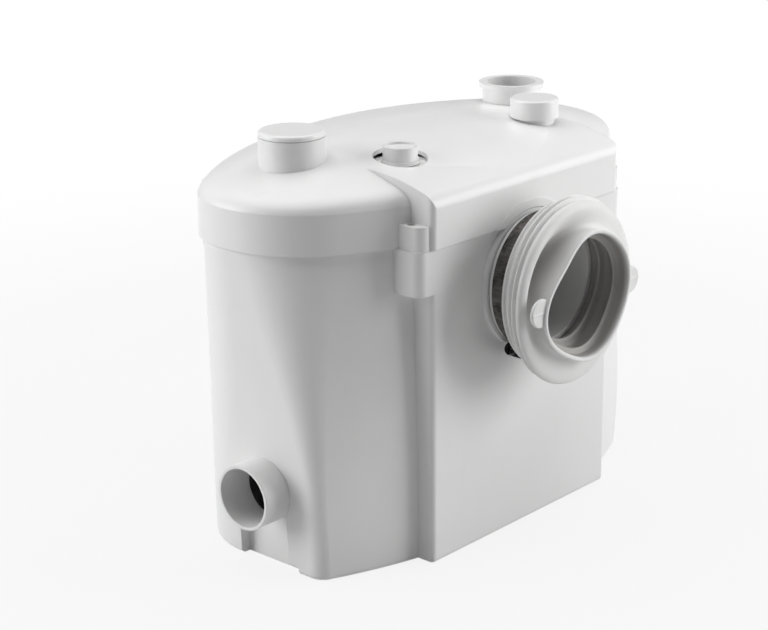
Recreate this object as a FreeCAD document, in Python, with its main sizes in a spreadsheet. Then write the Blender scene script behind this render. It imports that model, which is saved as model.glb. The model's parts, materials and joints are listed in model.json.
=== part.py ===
import FreeCAD
import Part
import math
import os

import Sketcher
from FreeCAD import Placement, Rotation, Vector

# Sewage lifting station (macerator pump) in its own frame, millimetres.
# +Z is up, -Y is the front with the toilet inlet, -X is the side with the low inlet.
# The origin is on the floor, at the middle of the oval of the tank.

doc = FreeCAD.newDocument("sewage_lifting_station")
sheet = doc.addObject("Spreadsheet::Sheet", "sizes")
sheet.Label = "driving dimensions"

driving = {
    # tank: four ovals from the floor to the rim, and the flat box at the front
    "tank_depth_half": 103.5,
    "tank_wall": 3.5,
    "tank_floor": 9.0,
    "tank_rim": 229.0,
    "base_half": 171.5,
    "base_flat": 55.0,
    "base_round": 14.0,
    "base_back_flat": 11.0,
    "low_level": 95.0,
    "low_half": 176.0,
    "low_flat": 50.0,
    "low_round": 18.0,
    "low_back_flat": 7.5,
    "waist_level": 160.0,
    "waist_half": 179.5,
    "waist_flat": 30.0,
    "waist_round": 38.0,
    "waist_back_flat": 4.5,
    "rim_half": 183.0,
    "rim_flat": 2.0,
    "rim_round": 71.0,
    "rim_back_flat": 2.0,
    "back_round": 60.0,
    "base_edge": 4.0,
    "face_proud": 0.5,
    "box_half": 100.0,
    "box_back": 60.0,
    "box_corner": 4.0,
    "box_inner_corner": 1.5,
    # lid: skirt over the rim, dome, and the raised middle above the flat face
    "lid_overlap": 2.8,
    "lid_overhang": 3.0,
    "lid_gap": 0.3,
    "lid_skirt_wall": 5.0,
    "dome_start": 254.0,
    "dome_rise": 26.0,
    "dome_wall": 3.0,
    "brow_rise": 18.5,
    "brow_back": 50.0,
    "brow_nose": 10.0,
    "eyebrow_gap": 6.5,
    "eyebrow_proud": 1.2,
    "eyebrow_sunk": 1.0,
    "gasket_thick": 2.0,
    "gasket_inset": 0.3,
    # lugs with the lid screws
    "lug_reach": 13.0,
    "lug_sunk": 5.0,
    "lug_deep": 26.0,
    "lug_drop": 31.0,
    "lug_round": 7.5,
    "lid_lug_rise": 16.5,
    "lid_lug_inset": 1.5,
    "rear_lug_inset": 9.5,
    "screw_radius": 2.0,
    "screw_head_radius": 2.6,
    "screw_head_high": 2.6,
    "screw_sink": 4.0,
    "screw_grip": 16.0,
    "cut_over": 1.0,
    "screw_play": 0.3,
    "thread_fit": 0.05,
    # toilet inlet: collar and spigot of the tank, rubber coupling, worm clamp
    "inlet_level": 185.5,
    "mouth_level": 181.5,
    "collar_radius": 49.0,
    "collar_proud": 4.0,
    "spigot_radius": 44.0,
    "spigot_wall": 4.0,
    "spigot_reach": 24.0,
    "rubber_fit": 0.05,
    "rubber_wall": 2.6,
    "mouth_radius": 42.1,
    "mouth_reach": 55.0,
    "coupling_root": 5.0,
    "flare_reach": 19.5,
    "lip_one_reach": 25.8,
    "lip_one_radius": 58.2,
    "lip_two_reach": 33.6,
    "lip_two_radius": 61.6,
    "lip_three_reach": 38.0,
    "lip_three_radius": 63.8,
    "lip_half": 1.2,
    "lip_high": 1.3,
    "shoulder_reach": 42.5,
    "shoulder_fall": 2.7,
    "shoulder_radius": 64.8,
    "neck_reach": 50.5,
    "neck_radius": 46.9,
    "bead_radius": 46.5,
    "inner_radius": 43.5,
    "rib_radius": 38.0,
    "rib_one_reach": 32.0,
    "rib_two_reach": 44.0,
    "rib_half": 0.8,
    "rib_slope": 2.0,
    "tab_centre": 51.0,
    "tab_radius": 9.0,
    "tab_thick": 3.0,
    "clamp_reach": 8.0,
    "clamp_wide": 9.0,
    "clamp_thick": 1.0,
    "clamp_fit": 0.05,
    "worm_radius": 3.0,
    "worm_fit": 0.08,
    "worm_cover": 1.4,
    "worm_house": 14.0,
    "worm_head_radius": 4.4,
    "worm_head_long": 4.0,
    "worm_slot": 1.2,
    # low side inlet with its flap
    "side_level": 57.3,
    "side_offset": 17.4,
    "side_bore": 20.8,
    "side_tube_wall": 2.2,
    "side_reach": 196.0,
    "side_pipe_deep": 34.0,
    "side_seat_long": 10.0,
    "side_stop": 0.6,
    "niche_front": 36.0,
    "niche_back": 10.0,
    "niche_face": 164.0,
    "niche_top": 52.0,
    "notch_long": 9.0,
    "notch_high": 6.0,
    "flap_seat_thick": 3.0,
    "flap_seat_bore": 17.0,
    "seat_fit": 0.05,
    "flap_thick": 2.0,
    "flap_radius": 19.0,
    "flap_gap": 0.3,
    "flap_pin_radius": 1.5,
    "flap_knuckle": 2.5,
    "flap_knuckle_long": 13.2,
    "flap_ear": 2.5,
    "flap_ear_half": 2.8,
    "flap_pin_rise": 22.5,
    "flap_ear_low": 12.75,
    "pin_fit": 0.05,
    # plugged inlets on the lid
    "plug_x": 122.0,
    "plug_y": 1.0,
    "plug_radius": 22.9,
    "plug_top": 295.5,
    "plug_rim": 4.0,
    "plug_skirt": 14.0,
    "stub_wall": 3.0,
    "plug_play": 0.3,
    "plug_wall": 2.4,
    "plug_round": 2.4,
    "vent_x": 80.0,
    "vent_y": 48.0,
    "vent_cap_radius": 17.6,
    "vent_cap_top": 291.0,
    "vent_cap_high": 14.0,
    "vent_cap_round": 1.6,
    "vent_stub_radius": 14.4,
    "vent_stub_wall": 2.9,
    "vent_stub_top": 287.0,
    # filter knob in its round recess
    "knob_x": 69.0,
    "knob_y": 49.0,
    "knob_radius": 12.0,
    "knob_top": 282.5,
    "knob_rim": 1.4,
    "recess_radius": 18.7,
    "recess_floor": 270.0,
    "recess_wall": 2.6,
    "recess_rim": 1.0,
    "knob_foot_radius": 13.2,
    "knob_foot_high": 2.5,
    "canister_radius": 9.0,
    "canister_deep": 34.0,
    "canister_wall": 1.5,
    "canister_vent": 1.5,
    "canister_vent_circle": 4.5,
    "carbon_play": 0.3,
    "knob_sink": 1.6,
    "knob_gap": 0.5,
    # discharge socket, check flap, riser pipe and rubber bend
    "socket_x": 119.0,
    "socket_y": 4.0,
    "socket_top": 290.0,
    "socket_flange": 24.3,
    "socket_flange_high": 3.2,
    "socket_radius": 21.8,
    "socket_wall": 3.3,
    "socket_pipe_deep": 44.0,
    "flap_chamber": 0.6,
    "socket_seat": 236.0,
    "socket_ledge": 266.0,
    "socket_ring_high": 3.5,
    "socket_boss_high": 4.0,
    "seat_bore": 9.0,
    "seat_thick": 4.0,
    "nipple_long": 12.0,
    "check_radius": 13.5,
    "check_thick": 2.4,
    "check_pin_radius": 1.0,
    "check_pin_offset": 15.2,
    "check_knuckle": 2.0,
    "check_knuckle_long": 12.0,
    "check_ear": 2.6,
    "riser_radius": 13.0,
    "riser_wall": 2.0,
    "riser_bottom": 82.0,
    "butt_gap": 2.0,
    "bend_round": 22.0,
    "bend_wall": 3.0,
    "bend_grip": 12.0,
    "clip_wide": 6.0,
    "clip_thick": 0.8,
    # pump and motor on one upright axis
    "pump_x": 30.0,
    "foot_radius": 8.0,
    "foot_high": 8.0,
    "foot_circle": 40.0,
    "peg_radius": 3.0,
    "peg_high": 6.0,
    "leg_high": 20.0,
    "leg_radius": 7.0,
    "casing_radius": 52.0,
    "casing_high": 34.0,
    "casing_floor": 5.0,
    "chamber_radius": 40.0,
    "cut_plate_radius": 30.0,
    "cut_plate_thick": 4.0,
    "cut_slot_radius": 4.0,
    "cut_slot_circle": 20.0,
    "suction_radius": 11.0,
    "knife_hub": 9.0,
    "suction_ring": 26.0,
    "knife_radius": 24.0,
    "knife_half_wide": 6.0,
    "knife_thick": 3.0,
    "running_gap": 0.5,
    "knife_bolt_radius": 5.0,
    "knife_bolt_high": 4.0,
    "knife_shank_radius": 2.5,
    "knife_shank_long": 14.0,
    "impeller_radius": 37.0,
    "impeller_hub": 11.0,
    "impeller_lift": 8.0,
    "vane_high": 9.0,
    "vane_thick": 3.0,
    "disc_thick": 3.5,
    "seal_ring_radius": 12.0,
    "seal_ring_high": 5.0,
    "seal_bore": 14.0,
    "seal_high": 6.0,
    "seal_shaft_gap": 1.0,
    "bracket_high": 34.0,
    "bracket_floor": 10.0,
    "bracket_wall": 4.0,
    "bearing_wall": 4.0,
    "can_radius": 52.0,
    "can_wall": 1.5,
    "can_high": 108.0,
    "end_cap_high": 16.0,
    "end_cap_rim": 6.0,
    "end_cap_flat": 30.0,
    "shaft_radius": 7.5,
    "shaft_end_radius": 6.0,
    "shaft_fit": 0.05,
    "low_bearing_radius": 17.5,
    "low_bearing_high": 11.0,
    "low_bearing_lift": 19.0,
    "top_bearing_radius": 16.0,
    "top_bearing_high": 10.0,
    "race_wall": 3.0,
    "ball_radius": 2.6,
    "ball_fit": 0.06,
    "core_lift": 47.0,
    "core_high": 62.0,
    "core_bore": 27.5,
    "air_gap": 0.4,
    "winding_high": 14.0,
    "winding_inner": 31.0,
    "winding_outer": 43.0,
    "winding_half_wide": 3.2,
    "winding_gap": 0.5,
    "slot_play": 0.3,
    "slot_mouth": 1.4,
    "end_ring_inner": 20.0,
    "end_ring_outer": 26.0,
    "end_ring_high": 3.0,
    "collar_shaft_radius": 9.5,
    "bolt_circle": 44.0,
    "bolt_radius": 2.0,
    "bolt_head_radius": 3.4,
    "bolt_head_high": 3.0,
    "bolt_grip": 22.0,
    # level switch and electrical pieces on their deck
    "bell_x": 92.0,
    "bell_y": 34.0,
    "bell_radius": 13.0,
    "bell_wall": 1.5,
    "bell_bottom": 24.0,
    "deck_level": 196.0,
    "deck_thick": 4.0,
    "deck_left": 128.0,
    "deck_right": 26.0,
    "deck_front": 14.0,
    "deck_back": 62.0,
    "post_left": 122.0,
    "post_right": 31.0,
    "post_front": 20.0,
    "post_back": 56.0,
    "post_radius": 4.0,
    "bell_hole_play": 0.3,
    "deck_screw_radius": 1.5,
    "deck_screw_head": 3.0,
    "deck_screw_high": 2.0,
    "deck_screw_long": 10.0,
    "membrane_radius": 22.0,
    "membrane_thick": 1.0,
    "bell_flange": 3.0,
    "cup_rim": 3.0,
    "cup_high": 9.0,
    "cup_top": 3.0,
    "plunger_radius": 3.0,
    "plunger_disc": 11.0,
    "plunger_disc_high": 2.0,
    "plunger_gap": 0.3,
    "plunger_proud": 3.5,
    "plunger_tip": 1.0,
    "plunger_cone": 2.0,
    "switch_long": 32.0,
    "switch_half_wide": 5.0,
    "switch_high": 14.0,
    "switch_post_high": 8.0,
    "switch_post_long": 6.0,
    "switch_cheek": 1.9,
    "switch_over": 5.5,
    "lever_arm": 16.5,
    "lever_tip": 3.0,
    "lever_half_wide": 2.5,
    "lever_thick": 1.0,
    "lever_pin_radius": 0.8,
    "lever_knuckle": 1.4,
    "capacitor_x": 50.0,
    "capacitor_y": 44.0,
    "capacitor_radius": 16.0,
    "capacitor_high": 52.0,
    "capacitor_clip_wall": 1.5,
    "capacitor_clip_high": 12.0,
    "capacitor_foot": 18.5,
    "capacitor_tab": 6.0,
    "capacitor_tab_thick": 0.8,
    "capacitor_tab_gap": 5.0,
    "terminal_x": 52.0,
    "terminal_y": 20.0,
    "terminal_long": 28.0,
    "terminal_wide": 10.0,
    "terminal_high": 12.0,
    "terminal_door_rise": 4.0,
    "terminal_hole": 1.6,
    "terminal_pitch": 6.0,
    "terminal_deep": 5.0,
    # cable gland in the back wall
    "gland_x": 62.0,
    "gland_level": 207.0,
    "gland_boss": 12.0,
    "gland_boss_deep": 17.5,
    "gland_boss_proud": 2.0,
    "gland_radius": 8.0,
    "gland_bore": 4.0,
    "gland_flange": 10.5,
    "gland_flange_long": 4.0,
    "gland_dome": 9.0,
    "gland_dome_long": 10.0,
    "gland_nut_long": 5.0,
    "gland_nut_radius": 11.0,
    "gland_end": 3.0,
    "gland_fit": 0.1,
}


class Size:
    """A length with the sheet expression that gives it."""

    def __init__(self, value, text):
        self.value = value
        self.text = text

    def __add__(self, other):
        return joined(self, "+", other)

    def __radd__(self, other):
        return joined(other, "+", self)

    def __sub__(self, other):
        return joined(self, "-", other)

    def __rsub__(self, other):
        return joined(other, "-", self)

    def __mul__(self, other):
        return joined(self, "*", other)

    def __rmul__(self, other):
        return joined(other, "*", self)

    def __truediv__(self, other):
        return joined(self, "/", other)

    def __rtruediv__(self, other):
        return joined(other, "/", self)

    def __neg__(self):
        return joined(-1.0, "*", self)


def size(number):
    """Plain numbers become sizes too."""
    return number if isinstance(number, Size) else Size(float(number), f"({float(number):.9g})")


def joined(left, sign, right):
    """Two sizes under one arithmetic sign."""
    first = size(left)
    second = size(right)
    results = {
        "+": lambda p, q: p + q,
        "-": lambda p, q: p - q,
        "*": lambda p, q: p * q,
        "/": lambda p, q: p / q,
    }
    return Size(results[sign](first.value, second.value), f"({first.text} {sign} {second.text})")


def root(inner):
    """Square root of a size."""
    return Size(math.sqrt(inner.value), f"sqrt({inner.text})")


class Driving:
    """The driving dimensions as attributes."""


dim = Driving()
for row, (alias, number) in enumerate(driving.items(), start=1):
    sheet.set(f"A{row}", alias)
    sheet.set(f"B{row}", str(number))
    sheet.setAlias(f"B{row}", alias)
    setattr(dim, alias, Size(float(number), f"sizes.{alias}"))
doc.recompute()

zero = size(0.0)

# the flat face at the front, and the far end of the rear lugs, follow the depth of the oval
front_face = dim.tank_depth_half + dim.face_proud
rear_lug_reach = dim.tank_depth_half - dim.rear_lug_inset
gland_boss_inner = dim.tank_depth_half - dim.gland_boss_deep

# how many of each repeated feature
canister_vents = 6
cut_slots = 8
bearing_balls = 8
stator_slots = 12
impeller_vanes = 6


def new_body(name):
    """Empty body whose label names the file of the piece."""
    body = doc.addObject("PartDesign::Body", name)
    body.Label = name
    return body


def origin_plane(body, role):
    """One of the body's three origin planes."""
    for feature in body.Origin.OriginFeatures:
        if feature.Role == role:
            return feature
    raise ValueError(role)


def new_sketch(body, role, level=zero):
    """Sketch on an origin plane, moved along the plane's normal by a size."""
    sketch = body.newObject("Sketcher::SketchObject", f"{body.Name}_sketch")
    sketch.AttachmentSupport = [(origin_plane(body, role), "")]
    sketch.MapMode = "FlatFace"
    sketch.AttachmentOffset = Placement(Vector(0, 0, level.value), Rotation())
    sketch.setExpression("AttachmentOffset.Base.z", level.text)
    return sketch


def pin_down(sketch, rules):
    """Adds the constraints and binds each one that has a size."""
    start = len(sketch.Constraints)
    sketch.addConstraint([Sketcher.Constraint(*rule[0]) for rule in rules])
    for index, rule in enumerate(rules):
        if rule[1] is not None:
            sketch.setExpression(f"Constraints[{start + index}]", rule[1].text)


def point_rules(geometry, end, x, y):
    """Constraints that hold one end of an edge at a place."""
    rules = []
    for name, place, axis in (("DistanceX", x, -2), ("DistanceY", y, -1)):
        if place is zero:
            rules.append((("PointOnObject", geometry, end, axis), None))
        else:
            rules.append(((name, -1, 1, geometry, end, place.value), place))
    return rules


def draw_outline(sketch, points):
    """Closed outline through (x, y) points. (x, y, radius) is reached by an arc:
    the radius is positive where the outline turns left along it, and negative where it turns right."""
    places = [(size(p[0]) if p[0] else zero, size(p[1]) if p[1] else zero) for p in points]
    first = len(sketch.Geometry)
    rules = []
    ends = []
    for index, point in enumerate(points):
        before = places[index - 1]
        place = places[index]
        a = Vector(before[0].value, before[1].value, 0)
        b = Vector(place[0].value, place[1].value, 0)
        geometry = first + index
        if len(point) == 2:
            sketch.addGeometry(Part.LineSegment(a, b))
            ends.append((1, 2))
        else:
            radius = abs(point[2].value)
            left = Vector(a.y - b.y, b.x - a.x, 0)
            side = 1 if point[2].value > 0 else -1
            half = left.Length / 2
            centre = (a + b) * 0.5 + left * (side * math.sqrt(max(radius ** 2 - half ** 2, 0)) / left.Length)
            begin = math.atan2(a.y - centre.y, a.x - centre.x)
            finish = math.atan2(b.y - centre.y, b.x - centre.x)
            if side < 0:
                begin, finish = finish, begin
            if finish <= begin:
                finish += 2 * math.pi
            circle = Part.Circle(centre, Vector(0, 0, 1), radius)
            sketch.addGeometry(Part.ArcOfCircle(circle, begin, finish))
            ends.append((1, 2) if side > 0 else (2, 1))
            bend = point[2] if side > 0 else -point[2]
            rules.append((("Radius", geometry, bend.value), bend))
    for index in range(len(points)):
        after = (index + 1) % len(points)
        rules.append((("Coincident", first + index, ends[index][1], first + after, ends[after][0]), None))
        rules += point_rules(first + index, ends[index][1], *places[index])
    pin_down(sketch, rules)


def draw_circle(sketch, x, y, radius):
    """Full circle."""
    x = size(x) if x else zero
    y = size(y) if y else zero
    geometry = len(sketch.Geometry)
    sketch.addGeometry(Part.Circle(Vector(x.value, y.value, 0), Vector(0, 0, 1), radius.value))
    pin_down(sketch, point_rules(geometry, 3, x, y) + [(("Radius", geometry, radius.value), radius)])


def draw_box(sketch, left, low, right, high):
    """Rectangle from its four sides."""
    draw_outline(sketch, [(left, low), (right, low), (right, high), (left, high)])


def extrude(body, kind, sketch, length, back=False, both=False):
    """Pad or Pocket of a sketch along its normal, or against it."""
    feature = body.newObject(f"PartDesign::{kind}", f"{body.Name}_{kind.lower()}")
    feature.Profile = sketch
    feature.Length = length.value
    feature.setExpression("Length", length.text)
    feature.Reversed = back
    feature.SideType = "Symmetric" if both else "One side"
    return grown(body, feature, kind == "Pad")


def grown(body, feature, adds):
    """Recomputes and makes sure that the feature changed the volume the right way."""
    before = feature.BaseFeature.Shape.Volume if feature.BaseFeature else 0.0
    doc.recompute()
    after = feature.Shape.Volume
    if (after - before) * (1 if adds else -1) <= 1e-6:
        raise ValueError(f"{body.Label}: {feature.Name} changes nothing, {before:.1f} to {after:.1f}")
    return feature


def pad(body, sketch, length, back=False, both=False):
    return extrude(body, "Pad", sketch, length, back, both)


def pocket(body, sketch, length, back=False, both=False):
    return extrude(body, "Pocket", sketch, length, back, both)


def loft(body, sketches, cuts=False, ruled=False):
    """Loft through sketches, added to or taken from the body."""
    kind = "SubtractiveLoft" if cuts else "AdditiveLoft"
    feature = body.newObject(f"PartDesign::{kind}", f"{body.Name}_loft")
    feature.Profile = sketches[0]
    feature.Sections = sketches[1:]
    feature.Ruled = ruled
    return grown(body, feature, not cuts)


def turn(body, sketch, cuts=False, angle=360.0):
    """Turn of a sketch about its upright axis."""
    kind = "Groove" if cuts else "Revolution"
    feature = body.newObject(f"PartDesign::{kind}", f"{body.Name}_{kind.lower()}")
    feature.Profile = sketch
    feature.ReferenceAxis = (sketch, ["V_Axis"])
    feature.Angle = angle
    return grown(body, feature, not cuts)


def rounded(body, radius, wanted):
    """Fillet on the edges of the tip that the test picks by their middle point."""
    base = body.Tip
    names = []
    for index, edge in enumerate(base.Shape.Edges, start=1):
        middle = edge.valueAt((edge.FirstParameter + edge.LastParameter) / 2)
        if wanted(middle, edge):
            names.append(f"Edge{index}")
    feature = body.newObject("PartDesign::Fillet", f"{body.Name}_fillet")
    feature.Base = (base, names)
    feature.Radius = radius.value
    feature.setExpression("Radius", radius.text)
    doc.recompute()
    return feature


def set_place(body, x=zero, y=zero, z=zero, axis=(0, 0, 1), angle=0.0):
    """Puts the piece's own frame at a place, turned about an axis."""
    body.Placement = Placement(Vector(x.value, y.value, z.value), Rotation(Vector(*axis), angle))
    for name, place in (("x", x), ("y", y), ("z", z)):
        if place is not zero:
            body.setExpression(f"Placement.Base.{name}", place.text)


def turned(name, points, x=zero, y=zero, z=zero, axis=(0, 0, 1), angle=0.0):
    """Round piece from its half outline, (radius, height) points in its own frame."""
    body = new_body(name)
    sketch = new_sketch(body, "XZ_Plane")
    draw_outline(sketch, points)
    turn(body, sketch)
    set_place(body, x, y, z, axis, angle)
    return body


def tube_points(inner, outer, low, high):
    """Half outline of a plain ring or tube."""
    return [(inner, low), (outer, low), (outer, high), (inner, high)]


def disc_points(outer, low, high):
    """Half outline of a plain disc or rod."""
    return [(zero, low), (outer, low), (outer, high), (zero, high)]


# Ovals of the tank and the lid

def corner_and_arc(half, depth, flat, end_round):
    """Where the corner of an oval passes into the long arc, and the long arc's radius. The arc is tangent
    to both corners: its radius follows from the distance between the arcs' centres."""
    reach = half - end_round
    drop = depth - flat
    long_round = (reach * reach + drop * drop - end_round * end_round) / (2 * (drop - end_round))
    rise = long_round - depth + flat
    span = root(reach * reach + rise * rise)
    return reach + end_round * reach / span, flat + end_round * rise / span, long_round


def draw_oval(sketch, half, depth, flat, end_round, back_flat, back_round):
    """Oval with a straight stretch at each end, as a closed outline of eight edges. half and depth are
    its half sizes along X and Y; flat and back_flat are how far the stretch goes to the front and to the
    back, end_round and back_round the radii of the corners there."""
    front_x, front_y, front_long = corner_and_arc(half, depth, flat, end_round)
    back_x, back_y, back_long = corner_and_arc(half, depth, back_flat, back_round)
    draw_outline(sketch, [
        (half, back_flat),
        (back_x, back_y, back_round),
        (-back_x, back_y, back_long),
        (-half, back_flat, back_round),
        (-half, -flat),
        (-front_x, -front_y, end_round),
        (front_x, -front_y, front_long),
        (half, -flat, end_round),
    ])


def tank_levels(inset, floor):
    """Level and shape of the tank's four ovals, drawn in by an inset."""
    return [
        (floor, dim.base_half - inset, dim.base_flat, dim.base_round - inset, dim.base_back_flat),
        (dim.low_level, dim.low_half - inset, dim.low_flat, dim.low_round - inset, dim.low_back_flat),
        (dim.waist_level, dim.waist_half - inset, dim.waist_flat, dim.waist_round - inset, dim.waist_back_flat),
        (dim.tank_rim, dim.rim_half - inset, dim.rim_flat, dim.rim_round - inset, dim.rim_back_flat),
    ]


def tank_ovals(body, inset, floor):
    """Sketches of the four ovals, one above the other."""
    sketches = []
    for level, half, flat, end_round, back_flat in tank_levels(inset, floor):
        sketch = new_sketch(body, "XY_Plane", level)
        draw_oval(sketch, half, dim.tank_depth_half - inset, flat, end_round, back_flat, dim.back_round - inset)
        sketches.append(sketch)
    return sketches


def draw_front_box(sketch, half, front, corner, back):
    """Plan of the flat-faced box at the front, its two front corners rounded."""
    draw_outline(sketch, [
        (half, -front + corner),
        (half, -back),
        (-half, -back),
        (-half, -front + corner),
        (-half + corner, -front, corner),
        (half - corner, -front),
        (half, -front + corner, corner),
    ][1:])


def lug_box(sketch, side, inner, outer, front, back):
    """Plan of one lug, its outer front corner rounded."""
    points = [
        (-outer, -back),
        (-outer, -front + dim.lug_round),
        (-outer + dim.lug_round, -front, dim.lug_round),
        (-inner, -front),
        (-inner, -back),
    ]
    if side > 0:
        points = [
            (inner, -back),
            (inner, -front),
            (outer - dim.lug_round, -front),
            (outer, -front + dim.lug_round, dim.lug_round),
            (outer, -back),
        ]
    draw_outline(sketch, points)


clamp_angle = 26.0
lug_parting = dim.tank_rim - dim.lid_overlap
lug_low = lug_parting - dim.lug_drop
lug_front = front_face
lug_back = front_face - dim.lug_deep
lug_outer = dim.box_half + dim.lug_reach
lug_inner = dim.box_half - dim.lug_sunk
screw_x = dim.box_half + dim.lid_overhang + dim.screw_head_radius + 2 * dim.screw_play
screw_y = front_face - dim.lug_deep / 2
rear_screw_y = rear_lug_reach - dim.lug_deep / 2 + dim.lug_round
screw_places = [(-screw_x, -screw_y), (screw_x, -screw_y), (-screw_x, rear_screw_y), (screw_x, rear_screw_y)]


def add_lugs(body, low, high, slack):
    """Four screw lugs: two beside the flat face, two at the back."""
    for side in (-1, 1):
        sketch = new_sketch(body, "XY_Plane", low)
        lug_box(sketch, side, lug_inner + slack, lug_outer - slack, lug_front, lug_back)
        pad(body, sketch, high - low)
        sketch = new_sketch(body, "XY_Plane", low)
        inner = lug_inner + slack
        outer = lug_outer - slack
        reach = rear_lug_reach + dim.lug_round
        if side < 0:
            draw_box(sketch, -outer, reach - dim.lug_deep, -inner, reach)
        else:
            draw_box(sketch, inner, reach - dim.lug_deep, outer, reach)
        pad(body, sketch, high - low)


# Levels and places that follow from the driving sizes

side_outer = dim.side_bore + dim.side_tube_wall
side_stop = dim.side_reach - dim.side_pipe_deep
side_inner = side_stop - dim.side_seat_long
gland_face = dim.tank_depth_half + dim.gland_boss_proud
pump_y = dim.socket_y
outlet_level = dim.riser_bottom - dim.butt_gap - dim.bend_round
outlet_end = dim.socket_x - dim.bend_round - dim.butt_gap - dim.pump_x
foot_top = dim.tank_floor + dim.foot_high
casing_low = foot_top + dim.leg_high
casing_top = casing_low + dim.casing_high
chamber_low = casing_low + dim.casing_floor
bracket_floor_top = casing_top + dim.bracket_floor
bracket_top = casing_top + dim.bracket_high
can_top = bracket_top + dim.can_high
cap_top = can_top + dim.end_cap_high
can_inner = dim.can_radius - dim.can_wall
rim_outer = can_inner - dim.seat_fit
rim_inner = dim.can_radius - dim.bracket_wall
low_bearing_low = casing_top + dim.low_bearing_lift
low_bearing_top = low_bearing_low + dim.low_bearing_high
top_bearing_top = can_top + dim.top_bearing_high
core_low = casing_top + dim.core_lift
core_top = core_low + dim.core_high
seal_ring_low = casing_top - dim.running_gap - dim.seal_ring_high
knife_top = casing_low - dim.running_gap
knife_low = knife_top - dim.knife_thick
vane_low = casing_low + dim.impeller_lift
disc_low = vane_low + dim.vane_high
deck_top = dim.deck_level + dim.deck_thick
membrane_low = deck_top + dim.bell_flange
membrane_top = membrane_low + dim.membrane_thick
cup_top = membrane_top + dim.cup_high
plunger_low = membrane_top + dim.plunger_gap
plunger_top = cup_top + dim.plunger_proud
switch_low = cup_top + dim.switch_post_high
lever_low = plunger_top + dim.plunger_gap
lever_pin_level = lever_low + dim.lever_knuckle

foot_places = []
for turn_angle in (90.0, 210.0, 330.0):
    cosine = math.cos(math.radians(turn_angle))
    sine = math.sin(math.radians(turn_angle))
    foot_places.append((dim.foot_circle * cosine, dim.foot_circle * sine))
pump_feet = [(dim.pump_x + x, pump_y + y) for x, y in foot_places]

post_places = [
    (-dim.post_left, dim.post_front),
    (-dim.post_left, dim.post_back),
    (-dim.post_right, dim.post_front),
    (-dim.post_right, dim.post_back),
]


# Features used by many pieces

def add_rods(body, role, level, places, radius, length, back=False):
    """Round rods of one radius that start on a plane."""
    sketch = new_sketch(body, role, level)
    for x, y in places:
        draw_circle(sketch, x, y, radius)
    return pad(body, sketch, length, back)


def cut_rods(body, role, level, places, radius, length, back=True):
    """Round holes of one radius, cut along the plane's normal, or against it."""
    sketch = new_sketch(body, role, level)
    for x, y in places:
        draw_circle(sketch, x, y, radius)
    return pocket(body, sketch, length, back)


def add_ring(body, role, level, x, y, inner, outer, length, back=False):
    """Ring that starts on a plane."""
    sketch = new_sketch(body, role, level)
    draw_circle(sketch, x, y, inner)
    draw_circle(sketch, x, y, outer)
    return pad(body, sketch, length, back)


def add_box(body, role, level, sides, length, back=False):
    """Box from the four sides of its outline."""
    sketch = new_sketch(body, role, level)
    draw_box(sketch, *sides)
    return pad(body, sketch, length, back)


def cut_box(body, role, level, sides, length, back=True):
    """Box-shaped hole, cut along the plane's normal, or against it."""
    sketch = new_sketch(body, role, level)
    draw_box(sketch, *sides)
    return pocket(body, sketch, length, back)


def polar(body, features, count):
    """Features repeated round the body's Z axis."""
    axis = [item for item in body.Origin.OriginFeatures if item.Role == "Z_Axis"][0]
    pattern = body.newObject("PartDesign::PolarPattern", f"{body.Name}_pattern")
    pattern.Originals = features
    pattern.Axis = (axis, [""])
    pattern.Angle = 360.0
    pattern.Occurrences = count
    body.Tip = pattern
    doc.recompute()
    return pattern


# Tank

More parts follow.
